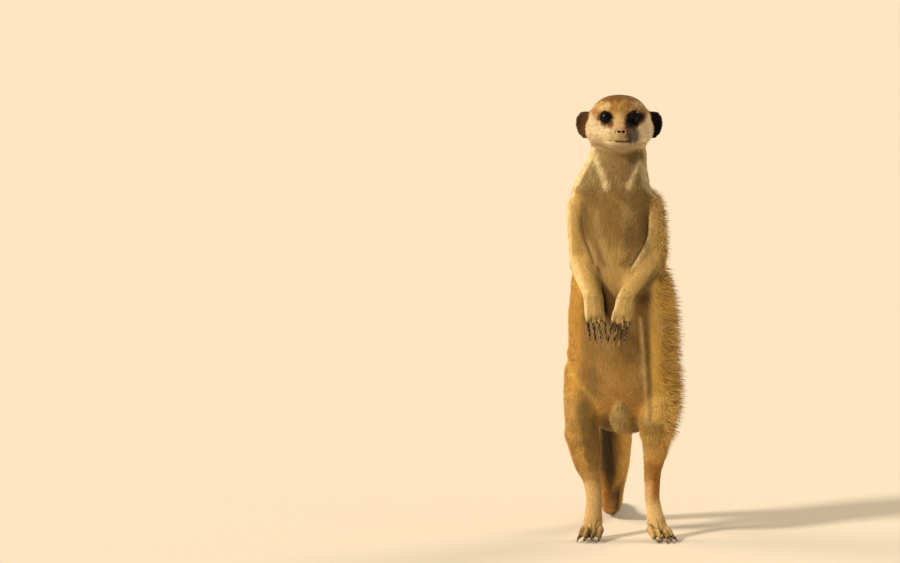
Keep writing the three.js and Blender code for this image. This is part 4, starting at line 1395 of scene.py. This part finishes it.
def clawMaterial():
    # Horn: dark and satin, paler at the tip, which is blunted and worn by digging, and in painted highlight
    # streaks along the blade.
    horn, tree = newMaterial("worn claw horn")
    along = attributeOf(tree, "along", "Fac")
    growth = noiseIn(tree, 1, 3, (2600, 900, 260))  # growth lines 0.4 mm apart, drawn out along the claw
    streak, tip = ranged(tree, growth, 0.0, 0.75, 0.55, 0.61), ranged(tree, along, 0.0, 0.6, 0.75, 1.0)
    pale = addNode(tree, "ShaderNodeMath", {0: streak, 1: tip}, operation="MAXIMUM")
    root, edge, worn = (linear(claw[name]) for name in ("root", "blade", "worn"))
    bump = addNode(tree, "ShaderNodeBump", {"Height": growth, "Strength": 0.35, "Distance": 0.1 * mm})
    showShader(tree, {"Base Color": mixed(tree, pale, mixed(tree, along, root, edge), worn), "Roughness": 0.3,
                      "Normal": bump, "IOR": 1.54, "Specular IOR Level": 0.18})
    return horn


def makeClaws():
    horn = clawMaterial()
    for paw in ("hand", "foot"):
        for side in sides:
            names, title = [f"claw_{paw}_{side}_{i}" for i in digits], f"claws_{paw}_{side}"
            rough = addObject("claws", joined(names, claw["grow"], "claws"))
            mesh = modified(rough, title, "SUBSURF", levels=2)
            axis = placesOf(mesh)[:, 2 if paw == "hand" else 1]
            storeValue(mesh, "along", (axis.max() - axis) / np.ptp(axis))
            shadeSmooth(mesh)
            piece = addObject(title, mesh, horn)
            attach(piece, "root")
            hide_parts(*names)
    print("claws made")


makeClaws()

# whiskers, by Geometry Nodes on points set in the muzzle and the brows

whisker = {
    "thickness": 0.16,  # mm across at the root, on a whisker of the usual length
    "usual": 12,
    "bend": 0.16,  # sag at the tip as a share of the length
    "sections": 8,
    "colour": "#4a3626",
    # place on one side of the head, direction and length: rows on the muzzle and two bristles over the eye
    "roots": [
        ((6.0, -25.5, -9.5), (0.80, -0.32, 0.02), 9), ((7.0, -22.5, -9.2), (0.88, -0.12, 0.06), 12),
        ((8.0, -19.5, -9.0), (0.94, 0.04, 0.10), 14), ((6.2, -25.0, -11.5), (0.82, -0.30, -0.16), 10),
        ((7.6, -22.0, -11.4), (0.90, -0.10, -0.14), 13), ((8.8, -19.0, -11.2), (0.95, 0.08, -0.10), 16),
        ((6.5, -24.0, -13.4), (0.78, -0.26, -0.36), 9), ((8.2, -21.0, -13.4), (0.86, -0.06, -0.32), 12),
        ((9.2, -18.4, -13.2), (0.90, 0.10, -0.28), 14), ((9.5, -4.5, 7.5), (0.45, -0.45, 0.75), 9),
        ((11.5, -3.5, 7.0), (0.60, -0.35, 0.70), 10),
    ],
}


def whiskerTree(material):
    tree = bpy.data.node_groups.new("whiskers", "GeometryNodeTree")
    sockets = (("Geometry", "Geometry"), ("Thickness", "Float"), ("Bend", "Float"), ("Sections", "Int"))
    for name, kind in sockets:
        tree.interface.new_socket(name, in_out="INPUT", socket_type=f"NodeSocket{kind}")
    tree.interface.new_socket("Geometry", in_out="OUTPUT", socket_type="NodeSocketGeometry")
    given = addNode(tree, "NodeGroupInput")
    sag = addNode(tree, "ShaderNodeMath", {0: given.outputs["Bend"], 1: -1.0}, operation="MULTIPLY")
    half = addNode(tree, "ShaderNodeMath", {0: sag, 1: 0.2}, operation="MULTIPLY")
    start = addNode(tree, "ShaderNodeCombineXYZ", {"Z": -0.06})
    middle = addNode(tree, "ShaderNodeCombineXYZ", {"Y": half, "Z": 0.5})
    end = addNode(tree, "ShaderNodeCombineXYZ", {"Y": sag, "Z": 0.98})
    line = addNode(tree, "GeometryNodeCurveQuadraticBezier", {
        "Resolution": given.outputs["Sections"], "Start": start, "Middle": middle,
        "End": end})
    ring = addNode(tree, "GeometryNodeCurvePrimitiveCircle", {
        "Resolution": 5, "Radius": given.outputs["Thickness"]})
    along = addNode(tree, "GeometryNodeSplineParameter")
    hair = addNode(tree, "GeometryNodeCurveToMesh", {
        "Curve": line, "Profile Curve": ring,
        "Scale": ranged(tree, along.outputs["Factor"], 1.0, 0.12), "Fill Caps": True})
    aim = addNode(tree, "GeometryNodeInputNamedAttribute", {"Name": "aim"}, data_type="FLOAT_VECTOR")
    reach = addNode(tree, "GeometryNodeInputNamedAttribute", {"Name": "reach"}, data_type="FLOAT")
    turned = addNode(tree, "FunctionNodeAlignRotationToVector", {"Vector": aim}, axis="Z")
    planted = addNode(tree, "GeometryNodeInstanceOnPoints", {
        "Points": given.outputs["Geometry"], "Instance": hair, "Rotation": turned,
        "Scale": reach})
    real = addNode(tree, "GeometryNodeRealizeInstances", {"Geometry": planted})
    smooth = addNode(tree, "GeometryNodeSetShadeSmooth", {"Geometry": real})
    painted = addNode(tree, "GeometryNodeSetMaterial", {"Geometry": smooth, "Material": material})
    addNode(tree, "NodeGroupOutput", {"Geometry": painted})
    return tree


def whiskerMaterial():
    # Keratin bristle: stiff, smooth and a little translucent, dark at the root.
    bristle, tree = newMaterial("keratin bristle")
    tint = linear(whisker["colour"])
    showShader(tree, {"Base Color": mixed(tree, noiseIn(tree, 600), tint * 0.6, tint * 1.7),
                      "Roughness": 0.35, "IOR": 1.55})
    return bristle


def makeWhiskers(f):
    head = nearestOf(f["places"][f["places"][:, 2] > headHeight * mm])
    roots, aims, reaches = [], [], []
    for place, aim, reach in whisker["roots"]:
        for side in sides.values():
            flip = np.array([side, 1, 1])
            roots.append(head.find(fromHead(np.array(place) * flip))[0])
            aims.append(unit(np.array(aim) * flip + chance.normal(size=3) * 0.05))
            reaches.append(reach * chance.uniform(0.9, 1.1) * mm)
    mesh = bpy.data.meshes.new("whiskers")
    mesh.from_pydata(roots, [], [])
    mesh.attributes.new("aim", "FLOAT_VECTOR", "POINT").data.foreach_set("vector", np.array(aims).ravel())
    storeValue(mesh, "reach", np.array(reaches))
    thing = addObject("whisker points", mesh)
    grow = thing.modifiers.new("grow", "NODES")
    grow.node_group = whiskerTree(whiskerMaterial())
    # every whisker is drawn 1 long and scaled by its length, so the thickness is a share of a usual length
    sizes = {"Thickness": whisker["thickness"] / 2 / whisker["usual"], "Bend": whisker["bend"],
             "Sections": whisker["sections"]}
    for item in grow.node_group.interface.items_tree:
        if item.in_out == "INPUT" and item.name in sizes:
            grow[item.identifier] = sizes[item.name]
    result = evaluated(thing, "whiskers")
    bpy.data.objects.remove(thing)
    piece = addObject("whiskers", result)
    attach(piece, "root")
    print("whiskers grown:", len(roots))


makeWhiskers(fields)
